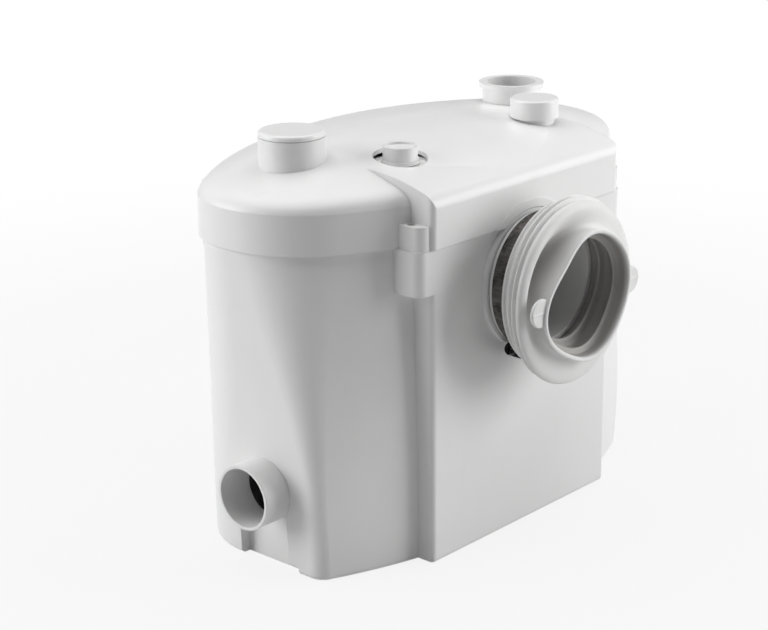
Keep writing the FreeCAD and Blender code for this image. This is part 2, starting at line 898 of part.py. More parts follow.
def make_tank():
    body = new_body("tank")
    loft(body, tank_ovals(body, zero, zero))
    sketch = new_sketch(body, "XY_Plane")
    draw_front_box(sketch, dim.box_half, front_face, dim.box_corner, dim.box_back)
    pad(body, sketch, dim.tank_rim)
    rounded(body, dim.base_edge, lambda middle, edge: middle.z < dim.base_edge.value / 2)
    add_lugs(body, lug_low, lug_parting, zero)
    add_rods(body, "XZ_Plane", -gland_face, [(dim.gland_x, dim.gland_level)], dim.gland_boss,
             gland_face - gland_boss_inner)
    # hollow of the oval and of the front box
    loft(body, tank_ovals(body, dim.tank_wall, dim.tank_floor), cuts=True)
    sketch = new_sketch(body, "XY_Plane", dim.tank_floor)
    draw_front_box(sketch, dim.box_half - dim.tank_wall, front_face - dim.tank_wall,
                   dim.box_inner_corner, dim.box_back)
    pocket(body, sketch, dim.tank_rim - dim.tank_floor, back=True)
    add_rods(body, "XZ_Plane", dim.tank_wall - gland_face, [(dim.gland_x, dim.gland_level)], dim.gland_boss,
             gland_face - dim.tank_wall - gland_boss_inner)
    cut_rods(body, "XZ_Plane", -gland_face - dim.cut_over, [(dim.gland_x, dim.gland_level)],
             dim.gland_radius + dim.gland_fit, gland_face - gland_boss_inner + 2 * dim.cut_over)
    # collar and spigot of the toilet inlet
    collar_root = front_face - dim.tank_wall
    for radius, reach in ((dim.collar_radius, dim.collar_proud), (dim.spigot_radius, dim.spigot_reach)):
        add_rods(body, "XZ_Plane", collar_root, [(0, dim.inlet_level)], radius, reach + dim.tank_wall)
    cut_rods(body, "XZ_Plane", collar_root - dim.tank_wall, [(0, dim.inlet_level)],
             dim.spigot_radius - dim.spigot_wall, dim.spigot_reach + 3 * dim.tank_wall)
    # niche of the low side inlet: a block whose outer end follows the middle of the tapered wall
    niche_root = dim.niche_face - dim.tank_wall
    block_low = dim.tank_floor / 2
    block_high = dim.niche_top + dim.tank_wall
    taper = (dim.low_half - dim.base_half) / dim.low_level
    wall_middle = dim.base_half - dim.tank_wall / 2
    sketch = new_sketch(body, "XZ_Plane", -dim.niche_back - dim.tank_wall)
    draw_outline(sketch, [
        (-wall_middle - taper * block_low, block_low),
        (-niche_root, block_low),
        (-niche_root, block_high),
        (-wall_middle - taper * block_high, block_high),
    ])
    pad(body, sketch, dim.niche_front + dim.niche_back + 2 * dim.tank_wall)
    sides = (-dim.niche_front, -dim.cut_over, dim.niche_back, dim.niche_top)
    cut_box(body, "YZ_Plane", -dim.niche_face, sides, dim.side_reach - dim.niche_face, back=False)
    sides = (-dim.niche_front - dim.notch_long, -dim.cut_over, dim.cut_over - dim.niche_front, dim.notch_high)
    cut_box(body, "YZ_Plane", -dim.niche_face, sides, dim.side_reach - dim.niche_face, back=False)
    # side inlet: tube, the pipe's bore with its stop, and the narrower seat of the flap's ring
    side_place = [(-dim.side_offset, dim.side_level)]
    add_rods(body, "YZ_Plane", -side_inner, side_place, side_outer, dim.side_reach - side_inner, back=True)
    cut_rods(body, "YZ_Plane", -side_stop, side_place, dim.side_bore, dim.side_pipe_deep + dim.cut_over, back=False)
    cut_rods(body, "YZ_Plane", dim.cut_over - side_inner, side_place, dim.side_bore - dim.side_stop,
             side_stop - side_inner + 2 * dim.cut_over, back=False)
    # pegs of the pump's feet and posts of the switch deck
    add_rods(body, "XY_Plane", dim.tank_floor / 2, pump_feet, dim.peg_radius, dim.tank_floor / 2 + dim.peg_high)
    add_rods(body, "XY_Plane", dim.tank_floor / 2, post_places, dim.post_radius,
             dim.deck_level - dim.tank_floor / 2)
    cut_rods(body, "XY_Plane", dim.deck_level - dim.deck_screw_long, post_places,
             dim.deck_screw_radius + dim.thread_fit, dim.deck_screw_long + dim.cut_over)
    # holes of the lid screws
    cut_rods(body, "XY_Plane", lug_parting - dim.screw_grip - dim.cut_over, screw_places,
             dim.screw_radius + dim.thread_fit, dim.screw_grip + 2 * dim.cut_over)
    return body


# Lid with its gasket and screws

lid_low = lug_parting
lid_ledge = dim.tank_rim + dim.gasket_thick
lid_front = front_face + dim.lid_overhang
lid_half = dim.box_half + dim.lid_overhang
lid_lug_top = lid_low + dim.lid_lug_rise
brow_top = dim.dome_start + dim.brow_rise
plug_seat = dim.plug_top - dim.plug_rim
stub_bore = dim.plug_radius - dim.stub_wall
vent_bore = dim.vent_stub_radius - dim.vent_stub_wall
screw_seat = lid_lug_top - dim.screw_sink
socket_bore = dim.socket_radius - dim.socket_wall
socket_ring_radius = dim.socket_radius + dim.stub_wall
dome_angles = (0.0, 12.0, 25.0, 39.0, 54.0, 69.0, 82.0)


def lid_skirt(body, low, high, spread, front, half, cuts=False):
    """Upright walls of the lid between two levels: the oval and the box at the front.
    spread is how far the oval stands out from the tank's rim."""
    make = pocket if cuts else pad
    sketch = new_sketch(body, "XY_Plane", low)
    draw_oval(sketch, dim.rim_half + spread, dim.tank_depth_half + spread, dim.rim_flat, dim.rim_round + spread,
              dim.rim_back_flat, dim.back_round + spread)
    make(body, sketch, high - low, back=cuts)
    sketch = new_sketch(body, "XY_Plane", low)
    draw_front_box(sketch, half, front, dim.box_corner, dim.box_back)
    make(body, sketch, high - low, back=cuts)


def dome_ovals(body, spread, rise):
    """Sections of the dome: at each angle the height is rise times its sine above the skirt,
    and the oval is drawn in by its cosine."""
    sketches = []
    for angle in dome_angles:
        high = math.sin(math.radians(angle))
        wide = math.cos(math.radians(angle))
        sketch = new_sketch(body, "XY_Plane", dim.dome_start + rise * high)
        draw_oval(
            sketch,
            (dim.rim_half + spread) * wide,
            (dim.tank_depth_half + spread) * wide,
            dim.rim_flat * wide,
            (dim.rim_round + spread) * wide,
            dim.rim_back_flat * wide,
            (dim.back_round + spread) * wide,
        )
        sketches.append(sketch)
    return sketches


def brow_points(front, rise, nose):
    """Side view of the raised middle: small nose arc, then a long arc that ends level."""
    run = front - nose - dim.brow_back
    long_round = (run * run + rise * rise - nose * nose) / (2 * (rise - nose))
    lean = nose / (long_round - nose)
    return [
        (-front, dim.dome_start),
        (-front + nose - run * lean, dim.dome_start + (long_round - rise) * lean, -nose),
        (-dim.brow_back, dim.dome_start + rise, -long_round),
    ]


def cut_collar(body, depth_from, depth):
    """Round opening that leaves the tank's inlet collar free."""
    cut_rods(body, "XZ_Plane", depth_from, [(0, dim.inlet_level)], dim.collar_radius + dim.lid_gap, depth)


def make_lid():
    body = new_body("lid")
    lid_skirt(body, lid_low, dim.dome_start, dim.lid_overhang, lid_front, lid_half)
    # raised middle: the plan of the flat-faced box, cut down to its side view
    sketch = new_sketch(body, "XY_Plane", dim.dome_start)
    draw_front_box(sketch, lid_half, lid_front, dim.box_corner, dim.brow_back)
    pad(body, sketch, dim.brow_rise)
    sketch = new_sketch(body, "YZ_Plane")
    above = brow_top + dim.cut_over
    before = -lid_front - dim.cut_over
    draw_outline(sketch, brow_points(lid_front, dim.brow_rise, dim.brow_nose)
                 + [(-dim.brow_back, above), (before, above), (before, dim.dome_start)])
    pocket(body, sketch, 2 * (lid_half + dim.cut_over), both=True)
    loft(body, dome_ovals(body, dim.lid_overhang, dim.dome_rise))
    add_lugs(body, lid_low, lid_lug_top, dim.lid_lug_inset)
    # stubs of the two plugged inlets
    plug_place = (-dim.plug_x, dim.plug_y)
    vent_place = (dim.vent_x, -dim.vent_y)
    knob_place = (-dim.knob_x, -dim.knob_y)
    socket_place = (dim.socket_x, dim.socket_y)
    for place, radius, top in (
        (plug_place, dim.plug_radius, plug_seat),
        (vent_place, dim.vent_stub_radius, dim.vent_stub_top),
    ):
        add_rods(body, "XY_Plane", dim.dome_start, [place], radius, top - dim.dome_start)
    # eyebrow over the inlet collar
    eyebrow_radius = dim.collar_radius + dim.eyebrow_gap
    lift = lid_low - dim.inlet_level
    chord = root(eyebrow_radius * eyebrow_radius - lift * lift)
    sketch = new_sketch(body, "XZ_Plane", lid_front - dim.eyebrow_sunk)
    draw_outline(sketch, [(chord, lid_low), (-chord, lid_low, eyebrow_radius)])
    pad(body, sketch, dim.eyebrow_proud + dim.eyebrow_sunk)
    # hollow: over the rim, above the gasket ledge, and inside the dome and the raised middle
    lid_skirt(body, lid_low, lid_ledge, dim.lid_gap, front_face + dim.lid_gap,
              dim.box_half + dim.lid_gap, cuts=True)
    inner = dim.lid_overhang - dim.lid_skirt_wall
    lid_skirt(body, lid_ledge, dim.dome_start, inner, front_face + inner, dim.box_half + inner, cuts=True)
    loft(body, dome_ovals(body, inner, dim.dome_rise - dim.dome_wall), cuts=True)
    sketch = new_sketch(body, "YZ_Plane")
    brow_low = dim.dome_start - dim.brow_nose
    brow_front = front_face + inner
    draw_outline(sketch, brow_points(brow_front, dim.brow_rise - dim.dome_wall, dim.brow_nose - dim.dome_wall)
                 + [(-dim.brow_back, brow_low), (-brow_front, brow_low)])
    pocket(body, sketch, 2 * (dim.box_half + inner), both=True)
    # cup of the filter knob and ledge of the discharge socket, both inside the dome
    add_rods(body, "XY_Plane", dim.recess_floor - dim.recess_wall, [knob_place],
             dim.recess_radius + dim.recess_wall, dim.recess_wall + dim.recess_rim)
    cut_rods(body, "XY_Plane", dim.recess_floor, [knob_place], dim.recess_radius, dim.dome_rise)
    add_rods(body, "XY_Plane", dim.socket_ledge, [socket_place], socket_ring_radius, dim.socket_boss_high)
    # bores, from the dome's inside to above the stubs
    for place, radius in (
        (knob_place, dim.canister_radius + dim.plug_play),
        (plug_place, stub_bore),
        (vent_place, vent_bore),
        (socket_place, dim.socket_radius + dim.lid_gap),
    ):
        cut_rods(body, "XY_Plane", dim.dome_start, [place], radius, dim.plug_top - dim.dome_start)
    cut_collar(body, lid_front - 2 * dim.lid_skirt_wall, 3 * dim.lid_skirt_wall)
    # screw holes and the round sinks of the heads
    for low, radius in (
        (lid_low - dim.cut_over, dim.screw_radius + dim.screw_play),
        (screw_seat, dim.screw_head_radius + dim.screw_play),
    ):
        cut_rods(body, "XY_Plane", low, screw_places, radius, lid_lug_top - low + dim.cut_over)
    return body


def make_gasket():
    body = new_body("lid_gasket")
    outer = -dim.gasket_inset
    inner = dim.gasket_inset - dim.tank_wall
    for spread, cuts in ((outer, False), (inner, True)):
        lid_skirt(body, dim.tank_rim, lid_ledge, spread, front_face + spread,
                  dim.box_half + spread, cuts=cuts)
    cut_collar(body, front_face - 3 * dim.tank_wall, 6 * dim.tank_wall)
    return body


def make_lid_screws():
    body = new_body("lid_screws")
    shank_low = lid_low - dim.screw_grip
    add_rods(body, "XY_Plane", shank_low, screw_places, dim.screw_radius, screw_seat - shank_low)
    add_rods(body, "XY_Plane", screw_seat, screw_places, dim.screw_head_radius, dim.screw_head_high)
    return body


# Toilet coupling with its clamp

def coupling_outer():
    """Outer profile of the rubber coupling: (reach from the flat face, radius)."""
    neck = dim.neck_reach
    lips = []
    for reach, radius in (
        (dim.lip_one_reach, dim.lip_one_radius),
        (dim.lip_two_reach, dim.lip_two_radius),
        (dim.lip_three_reach, dim.lip_three_radius),
    ):
        lips.append((reach - dim.lip_half, radius - dim.lip_high / 2))
        lips.append((reach, radius))
        lips.append((reach + dim.lip_half, radius - dim.lip_high))
    return [
        (dim.coupling_root, dim.spigot_radius + dim.rubber_fit + dim.rubber_wall),
        (dim.flare_reach, dim.spigot_radius + dim.rubber_fit + dim.rubber_wall),
        *lips,
        (dim.shoulder_reach, dim.shoulder_radius),
        (dim.shoulder_reach + dim.shoulder_fall, dim.shoulder_radius - 2 * dim.lip_high),
        (neck - dim.lip_half, (dim.shoulder_radius + dim.neck_radius) / 2),
        (neck, dim.neck_radius),
        (dim.mouth_reach - dim.lip_half, dim.bead_radius),
        (dim.mouth_reach, dim.bead_radius - dim.lip_high),
    ]


def coupling_inner():
    """Inner profile of the rubber coupling, from behind the sleeve to before the mouth."""
    sleeve = dim.spigot_radius + dim.rubber_fit
    points = [(dim.coupling_root - dim.cut_over, sleeve), (dim.spigot_reach + dim.rubber_fit, sleeve)]
    for reach, side_radius in ((dim.rib_one_reach, dim.inner_radius), (dim.rib_two_reach, dim.mouth_radius)):
        points.append((reach - dim.rib_half - dim.rib_slope, dim.inner_radius))
        points.append((reach - dim.rib_half, dim.rib_radius))
        points.append((reach + dim.rib_half, dim.rib_radius))
        points.append((reach + dim.rib_half + dim.rib_slope, side_radius))
    points.append((dim.mouth_reach + dim.cut_over, dim.mouth_radius))
    return points


def coupling_circles(body, points):
    """Circles of a profile, their middle dropping from the collar's level to the mouth's."""
    sketches = []
    for reach, radius in points:
        along = (reach.value - dim.lip_two_reach.value) / (dim.shoulder_reach.value - dim.lip_two_reach.value)
        share = min(max(along, 0.0), 1.0)
        level = dim.inlet_level + (dim.mouth_level - dim.inlet_level) * share
        sketch = new_sketch(body, "XZ_Plane", front_face + reach)
        draw_circle(sketch, 0, level, radius)
        sketches.append(sketch)
    return sketches


def make_coupling():
    body = new_body("toilet_coupling")
    loft(body, coupling_circles(body, coupling_outer()), ruled=True)
    tabs = [(dim.tab_centre, dim.mouth_level), (-dim.tab_centre, dim.mouth_level)]
    add_rods(body, "XZ_Plane", front_face + dim.neck_reach, tabs, dim.tab_radius, dim.tab_thick)
    loft(body, coupling_circles(body, coupling_inner()), cuts=True, ruled=True)
    return body


clamp_inner = dim.spigot_radius + dim.rubber_fit + dim.rubber_wall + dim.clamp_fit
clamp_outer = clamp_inner + dim.clamp_thick
clamp_middle = front_face + dim.clamp_reach + dim.clamp_wide / 2
worm_bore = dim.worm_radius + dim.worm_fit
worm_depth = clamp_outer + dim.worm_cover + worm_bore
worm_half = dim.worm_house / 2


def make_clamp_band():
    body = new_body("coupling_clamp")
    add_ring(body, "XZ_Plane", front_face + dim.clamp_reach, 0, 0, clamp_inner, clamp_outer, dim.clamp_wide)
    set_place(body, zero, zero, dim.inlet_level, (0, 1, 0), clamp_angle)
    return body


def make_clamp_housing():
    body = new_body("clamp_housing")
    cover = worm_bore + dim.worm_cover
    sides = (-clamp_middle - cover, -worm_depth - cover, -clamp_middle + cover, -clamp_outer)
    add_box(body, "YZ_Plane", -worm_half, sides, dim.worm_house)
    cut_rods(body, "YZ_Plane", -worm_half - dim.cut_over, [(-clamp_middle, -worm_depth)], worm_bore,
             dim.worm_house + 2 * dim.cut_over)
    set_place(body, zero, zero, dim.inlet_level, (0, 1, 0), clamp_angle)
    return body


def make_clamp_screw():
    """Worm screw along its own Z axis: head, shank, and the stop ring at its end."""
    gap = dim.lid_gap
    head_low = -worm_half - gap - dim.worm_head_long
    body = turned("clamp_screw", [
        (zero, head_low),
        (dim.worm_head_radius, head_low),
        (dim.worm_head_radius, -worm_half - gap),
        (dim.worm_radius, -worm_half - gap),
        (dim.worm_radius, worm_half + gap),
        (dim.worm_head_radius, worm_half + gap),
        (dim.worm_head_radius, worm_half + gap + dim.worm_cover),
        (zero, worm_half + gap + dim.worm_cover),
    ])
    half = dim.worm_slot / 2
    sides = (-dim.worm_head_radius, -half, dim.worm_head_radius, half)
    cut_box(body, "XY_Plane", head_low - dim.cut_over, sides, dim.cut_over + dim.worm_slot)
    turn_cos = math.cos(math.radians(clamp_angle))
    turn_sin = math.sin(math.radians(clamp_angle))
    set_place(body, -worm_depth * turn_sin, -clamp_middle, dim.inlet_level - worm_depth * turn_cos,
              (0, 1, 0), 90.0 + clamp_angle)
    return body


# Flap of the low side inlet. The flap and its ring are drawn round the tube's axis:
# their own X axis is the tube's, pointing into the tank

flap_face = dim.flap_seat_thick
flap_low = flap_face + dim.flap_gap
flap_pin_depth = flap_low + dim.flap_knuckle
flap_knuckle_half = dim.flap_knuckle_long / 2
flap_ear_root = flap_knuckle_half + dim.flap_gap


def place_flap_piece(body):
    set_place(body, -side_inner, -dim.side_offset, dim.side_level)


def make_flap_ring():
    body = new_body("flap_ring")
    add_ring(body, "YZ_Plane", zero, 0, 0, dim.flap_seat_bore, side_outer, dim.flap_seat_thick)
    add_ring(body, "YZ_Plane", zero, 0, 0, dim.flap_seat_bore, dim.side_bore - dim.side_stop - dim.seat_fit,
             side_stop - side_inner - dim.flap_gap, back=True)
    rise = dim.flap_pin_rise
    for side in (-1, 1):
        inner = side * flap_ear_root
        outer = side * (flap_ear_root + dim.flap_ear)
        left, right = (outer, inner) if side < 0 else (inner, outer)
        sides = (left, rise - dim.flap_ear_half - dim.flap_knuckle, right, rise + dim.flap_ear_half)
        add_box(body, "YZ_Plane", zero, sides, dim.flap_seat_thick)
        sides = (left, rise - dim.flap_ear_half, right, rise + dim.flap_ear_half)
        add_box(body, "YZ_Plane", flap_face, sides, flap_pin_depth - flap_face + dim.flap_ear_half)
    reach = flap_ear_root + dim.flap_ear + dim.cut_over
    cut_rods(body, "XZ_Plane", -reach, [(flap_pin_depth, rise)], dim.flap_pin_radius + dim.seat_fit, 2 * reach)
    place_flap_piece(body)
    return body


def make_flap_pin():
    body = new_body("flap_pin")
    reach = flap_ear_root + dim.flap_ear
    add_rods(body, "XZ_Plane", -reach, [(flap_pin_depth, dim.flap_pin_rise)], dim.flap_pin_radius, 2 * reach)
    place_flap_piece(body)
    return body


def make_side_flap():
    body = new_body("side_flap")
    add_rods(body, "YZ_Plane", flap_low, [(0, 0)], dim.flap_radius, dim.flap_thick)
    sides = (-flap_knuckle_half, dim.flap_ear_low, flap_knuckle_half, dim.flap_pin_rise)
    add_box(body, "YZ_Plane", flap_low, sides, dim.flap_thick)
    add_rods(body, "XZ_Plane", -flap_knuckle_half, [(flap_pin_depth, dim.flap_pin_rise)], dim.flap_knuckle,
             dim.flap_knuckle_long)
    cut_rods(body, "XZ_Plane", -flap_knuckle_half - dim.cut_over, [(flap_pin_depth, dim.flap_pin_rise)],
             dim.flap_pin_radius + dim.pin_fit, dim.flap_knuckle_long + 2 * dim.cut_over)
    place_flap_piece(body)
    return body


# Pieces on the lid

def make_inlet_plug():
    low = plug_seat + dim.lid_gap
    skirt = stub_bore - dim.plug_play
    hollow = skirt - dim.plug_wall
    bottom = plug_seat - dim.plug_skirt
    return turned("inlet_plug", [
        (zero, low),
        (hollow, low),
        (hollow, bottom),
        (skirt, bottom),
        (skirt, low),
        (dim.plug_radius, low),
        (dim.plug_radius, dim.plug_top - dim.plug_round),
        (dim.plug_radius - dim.plug_round, dim.plug_top, dim.plug_round),
        (zero, dim.plug_top),
    ], -dim.plug_x, dim.plug_y)


def make_vent_cap():
    low = dim.vent_cap_top - dim.vent_cap_high
    inner = dim.vent_stub_radius + dim.plug_play
    roof = dim.vent_stub_top + dim.lid_gap
    return turned("vent_cap", [
        (zero, roof),
        (inner, roof),
        (inner, low),
        (dim.vent_cap_radius, low),
        (dim.vent_cap_radius, dim.vent_cap_top - dim.vent_cap_round),
        (dim.vent_cap_radius - dim.vent_cap_round, dim.vent_cap_top, dim.vent_cap_round),
        (zero, dim.vent_cap_top),
    ], dim.vent_x, -dim.vent_y)


def make_filter_knob():
    low = dim.recess_floor + dim.knob_gap
    sunk = dim.knob_radius - dim.knob_rim
    return turned("filter_knob", [
        (zero, low),
        (dim.knob_foot_radius, low),
        (dim.knob_foot_radius, low + dim.knob_foot_high),
        (dim.knob_radius, low + dim.knob_foot_high),
        (dim.knob_radius, dim.knob_top),
        (sunk, dim.knob_top),
        (sunk, dim.knob_top - dim.knob_sink),
        (zero, dim.knob_top - dim.knob_sink),
    ], -dim.knob_x, -dim.knob_y)


canister_top = dim.recess_floor + dim.knob_gap
canister_low = canister_top - dim.canister_deep


def make_filter_canister():
    body = turned("filter_canister", [
        (zero, canister_low),
        (dim.canister_radius, canister_low),
        (dim.canister_radius, canister_top),
        (dim.canister_radius - dim.canister_wall, canister_top),
        (dim.canister_radius - dim.canister_wall, canister_low + dim.canister_wall),
        (zero, canister_low + dim.canister_wall),
    ])
    vent = cut_rods(body, "XY_Plane", canister_low - dim.cut_over, [(dim.canister_vent_circle, 0)],
                    dim.canister_vent, dim.canister_wall + 2 * dim.cut_over)
    polar(body, [vent], canister_vents)
    set_place(body, -dim.knob_x, -dim.knob_y)
    return body


def make_carbon_filter():
    radius = dim.canister_radius - dim.canister_wall - dim.carbon_play
    low = canister_low + dim.canister_wall + dim.carbon_play
    return turned("carbon_filter", disc_points(radius, low, canister_top - dim.carbon_play),
                  -dim.knob_x, -dim.knob_y)


# Discharge socket with its check flap, riser pipe and rubber bend

seat_top = dim.socket_seat + dim.seat_thick
check_low = seat_top + dim.flap_gap
check_pin_level = check_low + dim.check_knuckle
check_knuckle_half = dim.check_knuckle_long / 2
check_ear_root = check_knuckle_half + dim.flap_gap
riser_bore = dim.riser_radius - dim.riser_wall


def make_discharge_socket():
    nipple = riser_bore - dim.seat_fit
    flange_low = dim.socket_top - dim.socket_flange_high
    ring_top = dim.socket_ledge - dim.lid_gap
    chamber_top = dim.socket_top - dim.socket_pipe_deep
    body = turned("discharge_socket", [
        (dim.seat_bore, dim.socket_seat - dim.nipple_long),
        (nipple, dim.socket_seat - dim.nipple_long),
        (nipple, dim.socket_seat),
        (dim.socket_radius, dim.socket_seat),
        (dim.socket_radius, ring_top - dim.socket_ring_high),
        (socket_ring_radius, ring_top - dim.socket_ring_high),
        (socket_ring_radius, ring_top),
        (dim.socket_radius, ring_top),
        (dim.socket_radius, flange_low),
        (dim.socket_flange, flange_low),
        (dim.socket_flange, dim.socket_top),
        (socket_bore, dim.socket_top),
        (socket_bore, chamber_top),
        (socket_bore + dim.flap_chamber, chamber_top),
        (socket_bore + dim.flap_chamber, seat_top),
        (dim.seat_bore, seat_top),
    ])
    ear_out = check_ear_root + dim.check_ear
    for left, right in ((-ear_out, -check_ear_root), (check_ear_root, ear_out)):
        sides = (dim.check_pin_offset - dim.check_knuckle, left, dim.check_pin_offset + dim.check_knuckle, right)
        add_box(body, "XY_Plane", dim.socket_seat + dim.seat_thick / 2, sides,
                check_pin_level + dim.check_knuckle - dim.socket_seat - dim.seat_thick / 2)
    cut_rods(body, "XZ_Plane", -ear_out, [(dim.check_pin_offset, check_pin_level)],
             dim.check_pin_radius + dim.seat_fit, 2 * ear_out)
    set_place(body, dim.socket_x, dim.socket_y)
    return body


def make_check_pin():
    body = new_body("check_pin")
    reach = check_ear_root + dim.check_ear - dim.seat_fit
    add_rods(body, "XZ_Plane", -reach, [(dim.check_pin_offset, check_pin_level)], dim.check_pin_radius, 2 * reach)
    set_place(body, dim.socket_x, dim.socket_y)
    return body


def make_check_flap():
    body = new_body("check_flap")
    add_rods(body, "XY_Plane", check_low, [(0, 0)], dim.check_radius, dim.check_thick)
    sides = (dim.seat_bore, -check_knuckle_half, dim.check_pin_offset, check_knuckle_half)
    add_box(body, "XY_Plane", check_low, sides, dim.check_thick)
    add_rods(body, "XZ_Plane", -check_knuckle_half, [(dim.check_pin_offset, check_pin_level)], dim.check_knuckle,
             dim.check_knuckle_long)
    cut_rods(body, "XZ_Plane", -check_knuckle_half - dim.cut_over, [(dim.check_pin_offset, check_pin_level)],
             dim.check_pin_radius + dim.pin_fit, dim.check_knuckle_long + 2 * dim.cut_over)
    set_place(body, dim.socket_x, dim.socket_y)
    return body


def make_riser_pipe():
    points = tube_points(riser_bore, dim.riser_radius, dim.riser_bottom, dim.socket_seat)
    return turned("riser_pipe", points, dim.socket_x, dim.socket_y)


bend_inner = dim.riser_radius + dim.rubber_fit
bend_outer = bend_inner + dim.bend_wall
bend_leg = dim.butt_gap + dim.bend_grip


def place_bend_piece(body):
    """The bend's own XY plane stands upright in the tank, its middle at the bend's centre."""
    set_place(body, dim.socket_x - dim.bend_round, dim.socket_y, outlet_level + dim.bend_round, (1, 0, 0), -90.0)


def make_discharge_bend():
    body = new_body("discharge_bend")
    sketch = new_sketch(body, "XZ_Plane")
    draw_circle(sketch, dim.bend_round, 0, bend_inner)
    draw_circle(sketch, dim.bend_round, 0, bend_outer)
    turn(body, sketch, angle=90.0)
    add_ring(body, "XZ_Plane", zero, dim.bend_round, 0, bend_inner, bend_outer, bend_leg)
    add_ring(body, "YZ_Plane", zero, dim.bend_round, 0, bend_inner, bend_outer, bend_leg, back=True)
    place_bend_piece(body)
    return body


def make_bend_clips():
    body = new_body("bend_clips")
    start = dim.butt_gap + (dim.bend_grip - dim.clip_wide) / 2
    inner = bend_outer + dim.clamp_fit
    outer = inner + dim.clip_thick
    add_ring(body, "XZ_Plane", start, dim.bend_round, 0, inner, outer, dim.clip_wide)
    add_ring(body, "YZ_Plane", -start, dim.bend_round, 0, inner, outer, dim.clip_wide, back=True)
    place_bend_piece(body)
    return body


# Pump and motor, drawn round the pump's upright axis

def place_on_pump(body):
    set_place(body, dim.pump_x, pump_y)
    return body


def turned_on_pump(name, points):
    return turned(name, points, dim.pump_x, pump_y)


def bolt_places():
    places = []
    for angle in (30.0, 90.0, 150.0, 210.0, 270.0, 330.0):
        turn_cos = math.cos(math.radians(angle))
        turn_sin = math.sin(math.radians(angle))
        places.append((dim.bolt_circle * turn_cos, dim.bolt_circle * turn_sin))
    return places


def make_pump_casing():
    body = new_body("pump_casing")
    add_rods(body, "XY_Plane", casing_low, [(0, 0)], dim.casing_radius, dim.casing_high)
    add_rods(body, "YZ_Plane", zero, [(0, outlet_level)], dim.riser_radius, outlet_end)
    add_rods(body, "XY_Plane", foot_top, foot_places, dim.leg_radius, dim.leg_high + dim.casing_floor)
    cut_rods(body, "XY_Plane", chamber_low, [(0, 0)], dim.chamber_radius, dim.casing_high)
    cut_rods(body, "YZ_Plane", zero, [(0, outlet_level)], riser_bore, outlet_end + dim.cut_over)
    cut_rods(body, "XY_Plane", casing_low - dim.cut_over, [(0, 0)], dim.suction_ring,
             dim.casing_floor + 2 * dim.cut_over)
    cut_rods(body, "XY_Plane", casing_low - dim.cut_over, [(0, 0)], dim.cut_plate_radius + dim.seat_fit,
             dim.cut_plate_thick + dim.cut_over)
    bolt_low = bracket_floor_top - dim.bolt_grip
    cut_rods(body, "XY_Plane", bolt_low, bolt_places(), dim.bolt_radius + dim.thread_fit, dim.bolt_grip)
    return place_on_pump(body)


def make_pump_feet():
    body = new_body("pump_feet")
    add_rods(body, "XY_Plane", dim.tank_floor, pump_feet, dim.foot_radius, dim.foot_high)
    cut_rods(body, "XY_Plane", dim.tank_floor - dim.cut_over, pump_feet, dim.peg_radius + dim.seat_fit,
             dim.peg_high + dim.lid_gap + dim.cut_over)
    return body


def make_cutting_plate():
    body = new_body("cutting_plate")
    add_ring(body, "XY_Plane", casing_low, 0, 0, dim.suction_radius, dim.cut_plate_radius, dim.cut_plate_thick)
    slot = cut_rods(body, "XY_Plane", casing_low - dim.cut_over, [(dim.cut_slot_circle, 0)], dim.cut_slot_radius,
                    dim.cut_plate_thick + 2 * dim.cut_over)
    polar(body, [slot], cut_slots)
    return place_on_pump(body)


def make_seal_seat():
    inner = dim.shaft_radius + dim.seal_shaft_gap
    return turned_on_pump("seal_seat", tube_points(inner, dim.seal_bore, casing_top, casing_top + dim.seal_high))


def make_bearing_bracket():
    seal_bore = dim.seal_bore + dim.seat_fit
    bearing_bore = dim.low_bearing_radius + dim.seat_fit
    boss = bearing_bore + dim.bearing_wall
    body = turned_on_pump("bearing_bracket", [
        (seal_bore, casing_top),
        (dim.can_radius, casing_top),
        (dim.can_radius, bracket_top),
        (rim_outer, bracket_top),
        (rim_outer, bracket_top + dim.end_cap_rim),
        (rim_inner, bracket_top + dim.end_cap_rim),
        (rim_inner, bracket_floor_top),
        (boss, bracket_floor_top),
        (boss, low_bearing_top + dim.cut_over),
        (bearing_bore, low_bearing_top + dim.cut_over),
        (bearing_bore, low_bearing_low),
        (seal_bore, low_bearing_low),
    ])
    cut_rods(body, "XY_Plane", casing_top - dim.cut_over, bolt_places(), dim.bolt_radius + dim.thread_fit,
             dim.bracket_floor + 2 * dim.cut_over)
    return body


def make_casing_bolts():
    body = new_body("casing_bolts")
    add_rods(body, "XY_Plane", bracket_floor_top - dim.bolt_grip, bolt_places(), dim.bolt_radius, dim.bolt_grip)
    add_rods(body, "XY_Plane", bracket_floor_top, bolt_places(), dim.bolt_head_radius, dim.bolt_head_high)
    return place_on_pump(body)


def race_half(ball_circle, side):
    """Half width of the groove where its round meets the race's wall."""
    groove = dim.ball_radius + dim.ball_fit
    return root(groove * groove - (ball_circle - side) * (ball_circle - side))


